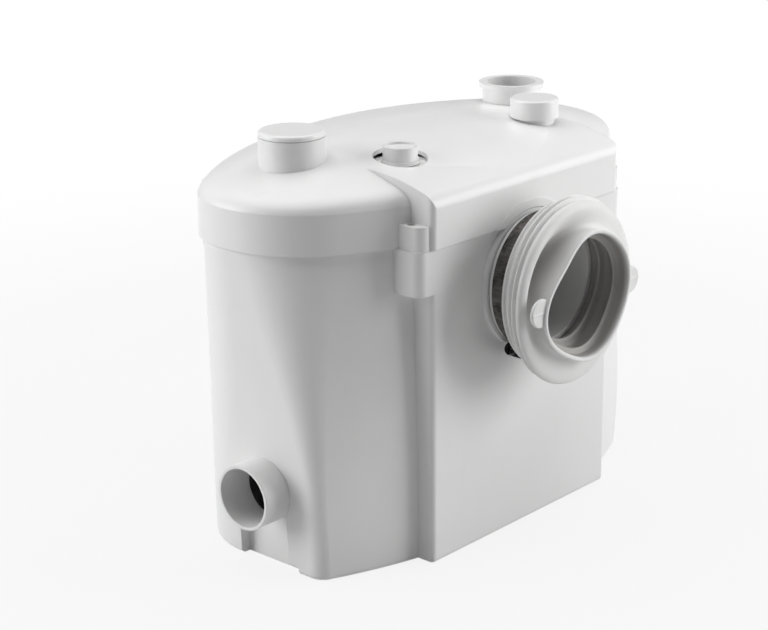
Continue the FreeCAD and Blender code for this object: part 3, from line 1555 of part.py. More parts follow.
def make_bearing(prefix, inner, outer, low, high):
    """Outer ring, balls and inner ring of a ball bearing."""
    groove = dim.ball_radius + dim.ball_fit
    outer_wall = outer - dim.race_wall
    inner_wall = inner + dim.race_wall
    circle = (outer_wall + inner_wall) / 2
    middle = (low + high) / 2
    half = race_half(circle, inner_wall)
    outer_ring = turned_on_pump(f"{prefix}_bearing_outer", [
        (outer_wall, low),
        (outer, low),
        (outer, high),
        (outer_wall, high),
        (outer_wall, middle + half),
        (outer_wall, middle - half, -groove),
    ])
    inner_ring = turned_on_pump(f"{prefix}_bearing_inner", [
        (inner, low),
        (inner_wall, low),
        (inner_wall, middle - half),
        (inner_wall, middle + half, -groove),
        (inner_wall, high),
        (inner, high),
    ])
    balls = new_body(f"{prefix}_bearing_balls")
    ball = balls.newObject("PartDesign::AdditiveSphere", f"{prefix}_ball")
    ball.AttachmentSupport = [(origin_plane(balls, "XY_Plane"), "")]
    ball.MapMode = "FlatFace"
    ball.Radius = dim.ball_radius.value
    ball.setExpression("Radius", dim.ball_radius.text)
    ball.AttachmentOffset = Placement(Vector(circle.value, 0, middle.value), Rotation())
    ball.setExpression("AttachmentOffset.Base.x", circle.text)
    ball.setExpression("AttachmentOffset.Base.z", middle.text)
    doc.recompute()
    polar(balls, [ball], bearing_balls)
    place_on_pump(balls)
    return [outer_ring, balls, inner_ring]


def make_stator_core():
    body = new_body("stator_core")
    add_ring(body, "XY_Plane", core_low, 0, 0, dim.core_bore, rim_outer, dim.core_high)
    sketch = new_sketch(body, "XY_Plane", core_low)
    wide = dim.winding_half_wide + dim.slot_play
    mouth = dim.slot_mouth
    start = dim.winding_inner - dim.slot_play
    end = dim.winding_outer + dim.slot_play
    inside = dim.core_bore - dim.cut_over
    draw_outline(sketch, [
        (inside, -mouth),
        (start, -mouth),
        (start, -wide),
        (end, -wide),
        (end, wide),
        (start, wide),
        (start, mouth),
        (inside, mouth),
    ])
    slot = pocket(body, sketch, dim.core_high, back=True)
    polar(body, [slot], stator_slots)
    return place_on_pump(body)


def make_windings():
    body = new_body("windings")
    low = core_low - dim.winding_high
    top = core_top + dim.winding_gap
    ring = dim.winding_high - dim.winding_gap
    add_ring(body, "XY_Plane", low, 0, 0, dim.winding_inner, dim.winding_outer, ring)
    sides = (dim.winding_inner + dim.slot_play, -dim.winding_half_wide,
             dim.winding_outer - dim.slot_play, dim.winding_half_wide)
    leg = add_box(body, "XY_Plane", low + dim.cut_over, sides, top - low)
    polar(body, [leg], stator_slots)
    add_ring(body, "XY_Plane", top, 0, 0, dim.winding_inner, dim.winding_outer, ring)
    return place_on_pump(body)


def make_motor_can():
    return turned_on_pump("motor_can", tube_points(can_inner, dim.can_radius, bracket_top, can_top))


def make_end_cap():
    bearing_bore = dim.top_bearing_radius + dim.seat_fit
    pocket_top = top_bearing_top + dim.winding_gap
    return turned_on_pump("motor_end_cap", [
        (zero, pocket_top),
        (bearing_bore, pocket_top),
        (bearing_bore, can_top),
        (rim_inner, can_top),
        (rim_inner, can_top - dim.end_cap_rim),
        (rim_outer, can_top - dim.end_cap_rim),
        (rim_outer, can_top),
        (dim.can_radius, can_top),
        (dim.can_radius, can_top + dim.end_cap_rim),
        (dim.end_cap_flat, cap_top),
        (zero, cap_top),
    ])


# Rotor: everything that turns with the shaft

def make_shaft():
    hole = dim.knife_shank_radius + dim.thread_fit
    hole_top = knife_top + dim.knife_shank_long
    shaft_top = top_bearing_top - dim.cut_over
    step = can_top - dim.end_ring_high
    return turned_on_pump("shaft", [
        (zero, hole_top),
        (hole, hole_top),
        (hole, knife_top),
        (dim.shaft_end_radius, knife_top),
        (dim.shaft_end_radius, seal_ring_low),
        (dim.shaft_radius, seal_ring_low),
        (dim.shaft_radius, low_bearing_top),
        (dim.collar_shaft_radius, low_bearing_top),
        (dim.collar_shaft_radius, core_low),
        (dim.shaft_radius, core_low),
        (dim.shaft_radius, step),
        (dim.shaft_end_radius, step),
        (dim.shaft_end_radius, shaft_top),
        (zero, shaft_top),
    ])


def make_rotor_core():
    inner = dim.shaft_radius + dim.shaft_fit
    outer = dim.core_bore - dim.air_gap
    return turned_on_pump("rotor_core", [
        (inner, core_low),
        (dim.end_ring_inner, core_low),
        (dim.end_ring_inner, core_low - dim.end_ring_high),
        (dim.end_ring_outer, core_low - dim.end_ring_high),
        (dim.end_ring_outer, core_low),
        (outer, core_low),
        (outer, core_top),
        (dim.end_ring_outer, core_top),
        (dim.end_ring_outer, core_top + dim.end_ring_high),
        (dim.end_ring_inner, core_top + dim.end_ring_high),
        (dim.end_ring_inner, core_top),
        (inner, core_top),
    ])


def make_seal_ring():
    inner = dim.shaft_radius + dim.shaft_fit
    return turned_on_pump("seal_ring", tube_points(
        inner, dim.seal_ring_radius, seal_ring_low, seal_ring_low + dim.seal_ring_high))


def make_impeller():
    bore = dim.shaft_end_radius + dim.shaft_fit
    body = new_body("impeller")
    sketch = new_sketch(body, "XZ_Plane")
    draw_outline(sketch, [
        (bore, vane_low),
        (dim.impeller_hub, vane_low),
        (dim.impeller_hub, disc_low),
        (dim.impeller_radius, disc_low),
        (dim.impeller_radius, disc_low + dim.disc_thick),
        (dim.impeller_hub, disc_low + dim.disc_thick),
        (dim.impeller_hub, seal_ring_low),
        (bore, seal_ring_low),
    ])
    turn(body, sketch)
    half = dim.vane_thick / 2
    sides = (dim.impeller_hub - half, -half, dim.impeller_radius - half, half)
    vane = add_box(body, "XY_Plane", vane_low, sides, dim.vane_high + half)
    polar(body, [vane], impeller_vanes)
    return place_on_pump(body)


def make_cutter_knife():
    body = new_body("cutter_knife")
    add_rods(body, "XY_Plane", knife_low, [(0, 0)], dim.knife_hub, dim.knife_thick)
    half = dim.knife_half_wide
    add_box(body, "XY_Plane", knife_low, (-dim.knife_radius, -half, dim.knife_radius, half), dim.knife_thick)
    cut_rods(body, "XY_Plane", knife_low - dim.cut_over, [(0, 0)], dim.knife_shank_radius + dim.thread_fit,
             dim.knife_thick + 2 * dim.cut_over)
    return place_on_pump(body)


def make_knife_bolt():
    head_low = knife_low - dim.knife_bolt_high
    shank_top = knife_top + dim.knife_shank_long - dim.cut_over
    return turned_on_pump("knife_bolt", [
        (zero, head_low),
        (dim.knife_bolt_radius, head_low),
        (dim.knife_bolt_radius, knife_low),
        (dim.knife_shank_radius, knife_low),
        (dim.knife_shank_radius, shank_top),
        (zero, shank_top),
    ])


# Level switch and electrical pieces

def turned_on_bell(name, points):
    return turned(name, points, -dim.bell_x, dim.bell_y)


def make_level_bell():
    bore = dim.bell_radius - dim.bell_wall
    return turned_on_bell("level_bell", [
        (bore, dim.bell_bottom),
        (dim.bell_radius, dim.bell_bottom),
        (dim.bell_radius, deck_top),
        (dim.membrane_radius, deck_top),
        (dim.membrane_radius, membrane_low),
        (bore, membrane_low),
    ])


def make_membrane():
    return turned_on_bell("membrane", disc_points(dim.membrane_radius, membrane_low, membrane_top))


def make_membrane_cup():
    inner = dim.membrane_radius - dim.cup_rim
    guide = dim.plunger_radius + dim.pin_fit
    return turned_on_bell("membrane_cup", [
        (inner, membrane_top),
        (dim.membrane_radius, membrane_top),
        (dim.membrane_radius, cup_top),
        (guide, cup_top),
        (guide, cup_top - dim.cup_top),
        (inner, cup_top - dim.cup_top),
    ])


def make_level_plunger():
    disc_top = plunger_low + dim.plunger_disc_high
    return turned_on_bell("level_plunger", [
        (zero, plunger_low),
        (dim.plunger_disc, plunger_low),
        (dim.plunger_disc, disc_top),
        (dim.plunger_radius, disc_top),
        (dim.plunger_radius, plunger_top - dim.plunger_cone),
        (dim.plunger_tip, plunger_top),
        (zero, plunger_top),
    ])


def make_microswitch():
    """Box of the switch on two pairs of cheeks; the lever hangs in the right-hand pair."""
    body = new_body("microswitch")
    right = dim.lever_arm + dim.switch_over
    left = right - dim.switch_long
    half = dim.switch_half_wide
    add_box(body, "XY_Plane", switch_low, (left, -half, right, half), dim.switch_high)
    post_right = dim.lever_arm + dim.switch_post_long / 2
    pairs = ((left, left + dim.switch_post_long), (post_right - dim.switch_post_long, post_right))
    for post_left, post_end in pairs:
        for low, high in ((-half, dim.switch_cheek - half), (half - dim.switch_cheek, half)):
            add_box(body, "XY_Plane", cup_top, (post_left, low, post_end, high), dim.switch_post_high + dim.cut_over)
    cut_rods(body, "XZ_Plane", -half - dim.cut_over, [(dim.lever_arm, lever_pin_level)],
             dim.lever_pin_radius + dim.seat_fit, 2 * (half + dim.cut_over))
    set_place(body, -dim.bell_x, dim.bell_y)
    return body


def make_lever_pin():
    body = new_body("lever_pin")
    half = dim.switch_half_wide
    add_rods(body, "XZ_Plane", -half, [(dim.lever_arm, lever_pin_level)], dim.lever_pin_radius, 2 * half)
    set_place(body, -dim.bell_x, dim.bell_y)
    return body


def make_switch_lever():
    body = new_body("switch_lever")
    half = dim.lever_half_wide
    add_rods(body, "XZ_Plane", -half, [(dim.lever_arm, lever_pin_level)], dim.lever_knuckle, 2 * half)
    add_box(body, "XY_Plane", lever_low, (-dim.lever_tip, -half, dim.lever_arm, half), dim.lever_thick)
    cut_rods(body, "XZ_Plane", -half - dim.cut_over, [(dim.lever_arm, lever_pin_level)],
             dim.lever_pin_radius + dim.pin_fit, 2 * (half + dim.cut_over))
    set_place(body, -dim.bell_x, dim.bell_y)
    return body


def make_switch_deck():
    body = new_body("switch_deck")
    sides = (-dim.deck_left, dim.deck_front, -dim.deck_right, dim.deck_back)
    add_box(body, "XY_Plane", dim.deck_level, sides, dim.deck_thick)
    through = dim.deck_thick + 2 * dim.cut_over
    low = dim.deck_level - dim.cut_over
    cut_rods(body, "XY_Plane", low, [(-dim.bell_x, dim.bell_y)], dim.bell_radius + dim.bell_hole_play, through)
    cut_rods(body, "XY_Plane", low, post_places, dim.deck_screw_radius + dim.bell_hole_play, through)
    return body


def make_deck_screws():
    body = new_body("deck_screws")
    low = deck_top - dim.deck_screw_long
    add_rods(body, "XY_Plane", low, post_places, dim.deck_screw_radius, dim.deck_screw_long)
    add_rods(body, "XY_Plane", deck_top, post_places, dim.deck_screw_head, dim.deck_screw_high)
    return body


def make_capacitor():
    body = new_body("capacitor")
    place = (-dim.capacitor_x, dim.capacitor_y)
    low = deck_top + dim.capacitor_clip_wall + dim.clamp_fit
    add_rods(body, "XY_Plane", low, [place], dim.capacitor_radius, dim.capacitor_high)
    half = dim.capacitor_tab_thick / 2
    for side in (-1, 1):
        middle = side * dim.capacitor_tab_gap - dim.capacitor_x
        sides = (middle - half, dim.capacitor_y - dim.capacitor_tab / 2,
                 middle + half, dim.capacitor_y + dim.capacitor_tab / 2)
        add_box(body, "XY_Plane", low + dim.capacitor_high, sides, dim.capacitor_tab)
    return body


def make_capacitor_clip():
    inner = dim.capacitor_radius + dim.clamp_fit
    outer = inner + dim.capacitor_clip_wall
    base_top = deck_top + dim.capacitor_clip_wall
    return turned("capacitor_clip", [
        (zero, deck_top),
        (dim.capacitor_foot, deck_top),
        (dim.capacitor_foot, base_top),
        (outer, base_top),
        (outer, deck_top + dim.capacitor_clip_high),
        (inner, deck_top + dim.capacitor_clip_high),
        (inner, base_top),
        (zero, base_top),
    ], -dim.capacitor_x, dim.capacitor_y)


def make_terminal_block():
    body = new_body("terminal_block")
    half_long = dim.terminal_long / 2
    half_wide = dim.terminal_wide / 2
    sides = (-half_long, -half_wide, half_long, half_wide)
    add_box(body, "XY_Plane", deck_top, sides, dim.terminal_high)
    columns = [dim.terminal_pitch * step for step in (-1.5, -0.5, 0.5, 1.5)]
    places = [(column, -half_wide / 2) for column in columns] + [(column, half_wide / 2) for column in columns]
    cut_rods(body, "XY_Plane", deck_top + dim.terminal_high - dim.terminal_deep, places, dim.terminal_hole / 2,
             dim.terminal_deep + dim.cut_over)
    doors = [(column, deck_top + dim.terminal_door_rise) for column in columns]
    cut_rods(body, "XZ_Plane", half_wide - dim.terminal_deep / 2, doors, dim.terminal_hole,
             dim.terminal_deep / 2 + dim.cut_over)
    set_place(body, -dim.terminal_x, dim.terminal_y)
    return body


# Cable gland through the back wall, its own Z axis pointing out of the tank

def make_cable_gland():
    inner_end = gland_boss_inner - gland_face - dim.gland_nut_long - dim.gland_end
    dome_low = dim.gland_flange_long
    dome_top = dim.gland_flange_long + dim.gland_dome_long
    return turned("cable_gland", [
        (dim.gland_bore, inner_end),
        (dim.gland_radius, inner_end),
        (dim.gland_radius, zero),
        (dim.gland_flange, zero),
        (dim.gland_flange, dome_low),
        (dim.gland_dome, dome_low),
        (dim.gland_dome, dome_top - dim.gland_end),
        (dim.gland_dome - dim.gland_end, dome_top, dim.gland_end),
        (dim.gland_bore, dome_top),
    ], dim.gland_x, gland_face, dim.gland_level, (1, 0, 0), -90.0)


def make_gland_nut():
    body = new_body("gland_nut")
    corners = []
    for angle in (0.0, 60.0, 120.0, 180.0, 240.0, 300.0):
        turn_cos = math.cos(math.radians(angle))
        turn_sin = math.sin(math.radians(angle))
        corners.append((dim.gland_nut_radius * turn_cos, dim.gland_nut_radius * turn_sin))
    sketch = new_sketch(body, "XY_Plane")
    draw_outline(sketch, corners)
    pad(body, sketch, dim.gland_nut_long, back=True)
    cut_rods(body, "XY_Plane", -dim.gland_nut_long - dim.cut_over, [(0, 0)], dim.gland_radius + dim.thread_fit,
             dim.gland_nut_long + 2 * dim.cut_over)
    set_place(body, dim.gland_x, gland_boss_inner, dim.gland_level, (1, 0, 0), -90.0)
    return body


pieces = [
    make_tank(),
    make_lid(),
    make_gasket(),
    make_lid_screws(),
    make_coupling(),
    make_clamp_band(),
    make_clamp_housing(),
    make_clamp_screw(),
    make_flap_ring(),
    make_flap_pin(),
    make_side_flap(),
    make_inlet_plug(),
    make_vent_cap(),
    make_filter_knob(),
    make_filter_canister(),
    make_carbon_filter(),
    make_discharge_socket(),
    make_check_pin(),
    make_check_flap(),
    make_riser_pipe(),
    make_discharge_bend(),
    make_bend_clips(),
    make_pump_casing(),
    make_pump_feet(),
    make_cutting_plate(),
    make_seal_seat(),
    make_bearing_bracket(),
    make_casing_bolts(),
    make_stator_core(),
    make_windings(),
    make_motor_can(),
    make_end_cap(),
    make_shaft(),
    make_rotor_core(),
    make_seal_ring(),
    make_impeller(),
    make_cutter_knife(),
    make_knife_bolt(),
    make_level_bell(),
    make_membrane(),
    make_membrane_cup(),
    make_level_plunger(),
    make_microswitch(),
    make_lever_pin(),
    make_switch_lever(),
    make_switch_deck(),
    make_deck_screws(),
    make_capacitor(),
    make_capacitor_clip(),
    make_terminal_block(),
    make_cable_gland(),
    make_gland_nut(),
]
pieces += make_bearing("low", dim.shaft_radius + dim.shaft_fit, dim.low_bearing_radius, low_bearing_low,
                       low_bearing_top)
pieces += make_bearing("top", dim.shaft_end_radius + dim.shaft_fit, dim.top_bearing_radius, can_top,
                       top_bearing_top)
doc.recompute()

for item in doc.Objects:
    for state in item.State:
        if state in ("Invalid", "Error"):
            raise ValueError(f"{item.Name} is {state}")
for piece in pieces:
    if piece.Shape.isNull() or not piece.Shape.isValid():
        raise ValueError(f"{piece.Label} has no valid shape")

os.makedirs("parts", exist_ok=True)
for piece in pieces:
    piece.Shape.exportStep(f"parts/{piece.Label}.step")
    print(piece.Label, len(piece.Shape.Solids), round(piece.Shape.Volume))
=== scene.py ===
import json
import math

import bmesh
import bpy
import numpy as np
from mathutils import Matrix, Vector


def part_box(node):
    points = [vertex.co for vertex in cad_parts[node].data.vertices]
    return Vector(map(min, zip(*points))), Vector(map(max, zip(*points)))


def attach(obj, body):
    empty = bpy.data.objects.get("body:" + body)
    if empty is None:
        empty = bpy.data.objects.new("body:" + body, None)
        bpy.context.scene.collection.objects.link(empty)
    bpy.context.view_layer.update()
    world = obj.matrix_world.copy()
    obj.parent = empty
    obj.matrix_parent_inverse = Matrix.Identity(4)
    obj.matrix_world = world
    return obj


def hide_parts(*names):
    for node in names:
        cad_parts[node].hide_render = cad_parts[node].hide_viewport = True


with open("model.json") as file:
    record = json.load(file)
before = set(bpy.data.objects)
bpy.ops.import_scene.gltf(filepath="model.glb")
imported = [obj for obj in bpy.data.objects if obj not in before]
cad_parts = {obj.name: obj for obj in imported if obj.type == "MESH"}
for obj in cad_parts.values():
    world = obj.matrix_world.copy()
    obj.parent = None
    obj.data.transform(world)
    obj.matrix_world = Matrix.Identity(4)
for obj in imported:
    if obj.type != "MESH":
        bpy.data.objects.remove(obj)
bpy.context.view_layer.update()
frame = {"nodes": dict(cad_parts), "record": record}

nodes = frame["nodes"]
mounts = {mount["name"]: mount for mount in frame["record"]["mounts"]}
print("frame loaded:", len(nodes), "nodes")


# Shader building: a signal is one output socket, and Python's operators on it add Math nodes

class Signal:
    def __init__(self, recipe, socket):
        self.recipe = recipe
        self.socket = socket

    def maths(self, operation, other):
        return self.recipe.make("Math", {"operation": operation}, {0: self, 1: other})

    def __add__(self, other):
        return self.maths("ADD", other)

    def __sub__(self, other):
        return self.maths("SUBTRACT", other)

    def __rsub__(self, other):
        return self.recipe.make("Math", {"operation": "SUBTRACT"}, {0: other, 1: self})

    def __mul__(self, other):
        return self.maths("MULTIPLY", other)

    __radd__ = __add__
    __rmul__ = __mul__

    def clipped(self):
        return self.recipe.make("Clamp", {}, {"Value": self})

    def above(self, edge, soft):
        # 0 below the edge, 1 above it, with a soft step between
        steps = {"Value": self, "From Min": edge - soft, "From Max": edge + soft}
        return self.recipe.make("MapRange", {"interpolation_type": "SMOOTHSTEP"}, steps)


class Recipe:
    # the nodes of one material, or of the world, made one by one
    def __init__(self, data):
        self.data = data
        data.use_nodes = True
        self.tree = data.node_tree
        self.tree.nodes.clear()

    def make(self, kind, settings=None, sockets=None, out=0):
        node = self.tree.nodes.new("ShaderNode" + kind)
        for key, value in (settings or {}).items():
            setattr(node, key, value)
        for key, value in (sockets or {}).items():
            if isinstance(value, Signal):
                self.tree.links.new(value.socket, node.inputs[key])
            else:
                node.inputs[key].default_value = value
        return Signal(self, node.outputs[out]) if node.outputs else None

    def place(self):
        return self.make("TexCoord", out="Object")

    def noise(self, size, detail, rough=0.5, stretch=(1, 1, 1)):
        # noise whose lumps are about size metres across, stretched along an axis by small numbers
        place = self.make("Mapping", {}, {"Vector": self.place(), "Scale": stretch})
        values = {"Vector": place, "Scale": 1.0 / size, "Detail": detail, "Roughness": rough}
        return self.make("TexNoise", {}, values)

    def blend(self, share, first, second):
        # colour mix: the first colour where the share is 0, the second where it is 1
        return self.make("Mix", {"data_type": "RGBA"}, {0: share, 6: first, 7: second}, out=2)

    def softEdges(self, radius):
        return self.make("Bevel", {"samples": 4}, {"Radius": radius})

    def bump(self, height, strength, lift, **normal):
        values = {"Height": height, "Strength": strength, "Distance": lift, **normal}
        return self.make("Bump", {}, values)

    def finish(self, **values):
        sockets = {key.replace("_", " "): value for key, value in values.items()}
        self.make("OutputMaterial", {}, {"Surface": self.make("BsdfPrincipled", {}, sockets)})
        return self.data


def newMaterial(name):
    return Recipe(bpy.data.materials.new(name))


def colour(red, green, blue):
    return (red, green, blue, 1.0)


# Materials

def mouldedPlastic(name, look):
    # cloudy tint, faint scuffs, fine moulded grain and soft rounded edges
    mat = newMaterial(name)
    cloud = mat.noise(look["cloudSize"], detail=3.0)
    grain = mat.noise(look["grainSize"], detail=2.0, rough=0.6)
    scuff = mat.noise(look["scuffSize"], detail=5.0, rough=0.7, stretch=look["scuffStretch"])
    scuff = scuff.above(look["scuffEdge"], look["scuffSoft"])
    tint = cloud.above(look["cloudEdge"], look["cloudSoft"])
    tint = mat.blend(tint, colour(*look["light"]), colour(*look["dark"]))
    tint = mat.blend(scuff * look["scuffTint"], tint, colour(*look["scuffColour"]))
    rough = cloud * look["roughSwing"] + scuff * look["scuffRough"]
    rough = rough + (look["rough"] - look["roughSwing"] / 2)
    bump = mat.bump(grain, look["grainDepth"], look["grainLift"], Normal=mat.softEdges(look["edgeRadius"]))
    return mat.finish(Base_Color=tint, Roughness=rough.clipped(), Normal=bump,
                      Specular_IOR_Level=look["shine"])


shellLook = {
    "light": (0.84, 0.84, 0.838),
    "dark": (0.80, 0.80, 0.798),
    "cloudSize": 0.16,
    "cloudEdge": 0.5,
    "cloudSoft": 0.22,
    "grainSize": 0.0009,
    "grainDepth": 0.06,
    "grainLift": 0.0002,
    "scuffSize": 0.02,
    "scuffStretch": (1, 1, 0.25),
    "scuffEdge": 0.62,
    "scuffSoft": 0.05,
    "scuffTint": 0.05,
    "scuffColour": (0.62, 0.62, 0.61),
    "scuffRough": 0.07,
    "rough": 0.36,
    "roughSwing": 0.06,
    "edgeRadius": 0.0011,
    "shine": 0.5,
}
shellWhite = mouldedPlastic("glossyWhiteShell", shellLook)
capWhite = mouldedPlastic("smoothWhiteCaps", {
    **shellLook, "light": (0.87, 0.87, 0.868), "dark": (0.84, 0.84, 0.838), "rough": 0.3,
    "edgeRadius": 0.0006})
greyPlastic = mouldedPlastic("greyInnerPlastic", {
    **shellLook, "light": (0.36, 0.37, 0.38), "dark": (0.31, 0.32, 0.33), "rough": 0.45,
    "scuffColour": (0.5, 0.5, 0.5), "edgeRadius": 0.0004})
blackPlastic = mouldedPlastic("blackFilledPlastic", {
    **shellLook, "light": (0.035, 0.035, 0.037), "dark": (0.022, 0.022, 0.024), "rough": 0.48,
    "scuffColour": (0.12, 0.12, 0.12), "edgeRadius": 0.0005})
creamPlastic = mouldedPlastic("creamTerminalPlastic", {
    **shellLook, "light": (0.8, 0.76, 0.62), "dark": (0.74, 0.7, 0.56), "edgeRadius": 0.0003})
ceramic = mouldedPlastic("lappedCeramic", {
    **shellLook, "light": (0.82, 0.79, 0.72), "dark": (0.76, 0.73, 0.66), "rough": 0.15,
    "edgeRadius": 0.0002})


def softRubber(name, look):
    # matte rubber: powdery bloom in patches, fine pits, and painted shade: a darker colour on what lies
    # inside the pipe's way and in the coupling's groove
    mat = newMaterial(name)
    bloom = mat.noise(look["bloomSize"], detail=4.0, rough=0.65)
    pits = mat.noise(look["pitSize"], detail=3.0, rough=0.7)
    tint = bloom.above(look["bloomEdge"], look["bloomSoft"])
    tint = mat.blend(tint, colour(*look["base"]), colour(*look["bloom"]))
    # painted shade: where the inside attribute is set, the colour turns darker
    if "paintedShade" in look:
        within = mat.make("Attribute", {"attribute_name": "inside"}, out="Fac")
        paintedShade = mat.blend(bloom, colour(*look["paintedShade"]), colour(*look["paintedShadeLight"]))
        tint = mat.blend(within, tint, paintedShade)
    bump = mat.bump(pits, look["pitDepth"], look["pitLift"], Normal=mat.softEdges(look["edgeRadius"]))
    rough = bloom * look["roughSwing"] + (look["rough"] - look["roughSwing"] / 2)
    return mat.finish(Base_Color=tint, Roughness=rough.clipped(), Normal=bump,
                      Specular_IOR_Level=look["shine"])


paleRubberLook = {
    "base": (0.80, 0.80, 0.795),
    "bloom": (0.76, 0.76, 0.755),
    "bloomSize": 0.03,
    "bloomEdge": 0.52,
    "bloomSoft": 0.18,
    "pitSize": 0.0007,
    "pitDepth": 0.07,
    "pitLift": 0.0002,
    "rough": 0.46,
    "roughSwing": 0.12,
    "edgeRadius": 0.0004,
    "shine": 0.4,
}
# the two darker colours are painted shade for the coupling's inside and its groove
paleRubber = softRubber("paleCouplingRubber", {
    **paleRubberLook, "paintedShade": (0.35, 0.335, 0.32), "paintedShadeLight": (0.42, 0.405, 0.39)})
blackRubber = softRubber("blackFlapRubber", {
    **paleRubberLook, "base": (0.018, 0.018, 0.019), "bloom": (0.05, 0.05, 0.05), "bloomSize": 0.012,
    "pitSize": 0.0006, "pitDepth": 0.15, "rough": 0.62, "shine": 0.35})


def workedMetal(name, look):
    # metal with drawn or turned lines along one axis, stained in patches
    mat = newMaterial(name)
    lines = mat.noise(look["lineSize"], detail=3.0, rough=0.6, stretch=look["lineStretch"])
    stain = mat.noise(look["stainSize"], detail=4.0, rough=0.6)
    stain = stain.above(look["stainEdge"], look["stainSoft"])
    tint = lines.above(look["lineEdge"], look["lineSoft"])
    tint = mat.blend(tint, colour(*look["light"]), colour(*look["dark"]))
    tint = mat.blend(stain * look["stainShare"], tint, colour(*look["stain"]))
    rough = lines * look["roughSwing"] + stain * look["stainRough"] + look["rough"]
    bump = mat.bump(lines, look["lineDepth"], look["lineLift"])
    return mat.finish(Base_Color=tint, Metallic=1.0, Roughness=rough.clipped(), Normal=bump)


steelLook = {
    "light": (0.60, 0.59, 0.57),
    "dark": (0.48, 0.47, 0.46),
    "stain": (0.30, 0.27, 0.24),
    "lineSize": 0.0012,
    "lineStretch": (0.06, 0.06, 1),
    "lineEdge": 0.5,
    "lineSoft": 0.3,
    "lineDepth": 0.12,
    "lineLift": 0.0001,
    "stainSize": 0.012,
    "stainEdge": 0.58,
    "stainSoft": 0.08,
    "stainShare": 0.2,
    "stainRough": 0.15,
    "rough": 0.22,
    "roughSwing": 0.18,
}
brushedSteel = workedMetal("brushedStainless", steelLook)
canSteel = workedMetal("drawnMotorCan", {**steelLook, "lineStretch": (1, 1, 0.04), "rough": 0.28})
coreSteel = workedMetal("stackedCoreSheets", {
    **steelLook, "light": (0.30, 0.30, 0.31), "dark": (0.16, 0.16, 0.17), "lineSize": 0.0008,
    "lineStretch": (0.02, 0.02, 1), "lineDepth": 0.5, "rough": 0.4})
castMetal = workedMetal("castAluminium", {
    **steelLook, "light": (0.58, 0.58, 0.59), "dark": (0.46, 0.46, 0.47), "lineSize": 0.0016,
    "lineStretch": (1, 1, 1), "lineDepth": 0.4, "rough": 0.42})
bearingSteel = workedMetal("groundBearingSteel", {
    **steelLook, "light": (0.72, 0.72, 0.73), "dark": (0.62, 0.62, 0.64), "rough": 0.08, "stainShare": 0.1})
canAluminium = workedMetal("capacitorCan", {
    **steelLook, "light": (0.78, 0.78, 0.79), "dark": (0.68, 0.68, 0.69), "lineStretch": (1, 1, 0.05),
    "rough": 0.25})
# painted shade: the clamp steel is coloured dark, with dark stains over much of it, for the shade it lies in
# under the coupling's flare
darkBand = workedMetal("shadowedClampSteel", {
    **steelLook, "light": (0.20, 0.185, 0.175), "dark": (0.10, 0.093, 0.09), "stain": (0.04, 0.035, 0.035),
    "stainShare": 0.6, "rough": 0.32})
lacqueredWire = workedMetal("lacqueredWire", {
    **steelLook, "light": (0.68, 0.34, 0.14), "dark": (0.46, 0.2, 0.08), "stain": (0.25, 0.1, 0.04),
    "lineSize": 0.0011, "lineStretch": (1, 1, 0.15), "lineDepth": 0.9, "rough": 0.25})


screwLook = {
    "black": (0.02, 0.02, 0.021),
    "worn": (0.2, 0.19, 0.18),
    "wearSize": 0.0025,
    "wearEdge": 0.63,
    "wearSoft": 0.06,
    "pitSize": 0.0006,
    "pitDepth": 0.2,
    "pitLift": 0.0001,
    "metallic": 0.8,
    "rough": 0.5,
    "wornShine": 0.2,
}


def paintedShadeScrewSteel(look):
    # screw steel coloured near black as painted shade, worn brighter in spots
    mat = newMaterial("paintedShadeScrewSteel")
    wear = mat.noise(look["wearSize"], detail=4.0, rough=0.7).above(look["wearEdge"], look["wearSoft"])
    tint = mat.blend(wear, colour(*look["black"]), colour(*look["worn"]))
    bump = mat.bump(mat.noise(look["pitSize"], detail=3.0), look["pitDepth"], look["pitLift"])
    return mat.finish(Base_Color=tint, Metallic=look["metallic"],
                      Roughness=look["rough"] - wear * look["wornShine"], Normal=bump)


blackSteel = paintedShadeScrewSteel(screwLook)


carbonLook = {
    "dark": (0.01, 0.01, 0.01),
    "light": (0.06, 0.06, 0.06),
    "grainsPerMetre": 700.0,
    "grainDepth": 0.8,
    "grainLift": 0.0006,
    "rough": 0.8,
}


def looseCarbon(look):
    # black granules: each cell is one grain, and it lightens away from its middle
    mat = newMaterial("carbonGranules")
    cells = mat.make("TexVoronoi", {}, {"Vector": mat.place(), "Scale": look["grainsPerMetre"]})
    tint = mat.blend(cells.clipped(), colour(*look["dark"]), colour(*look["light"]))
    bump = mat.bump(cells, look["grainDepth"], look["grainLift"])
    return mat.finish(Base_Color=tint, Roughness=look["rough"], Normal=bump)


carbon = looseCarbon(carbonLook)


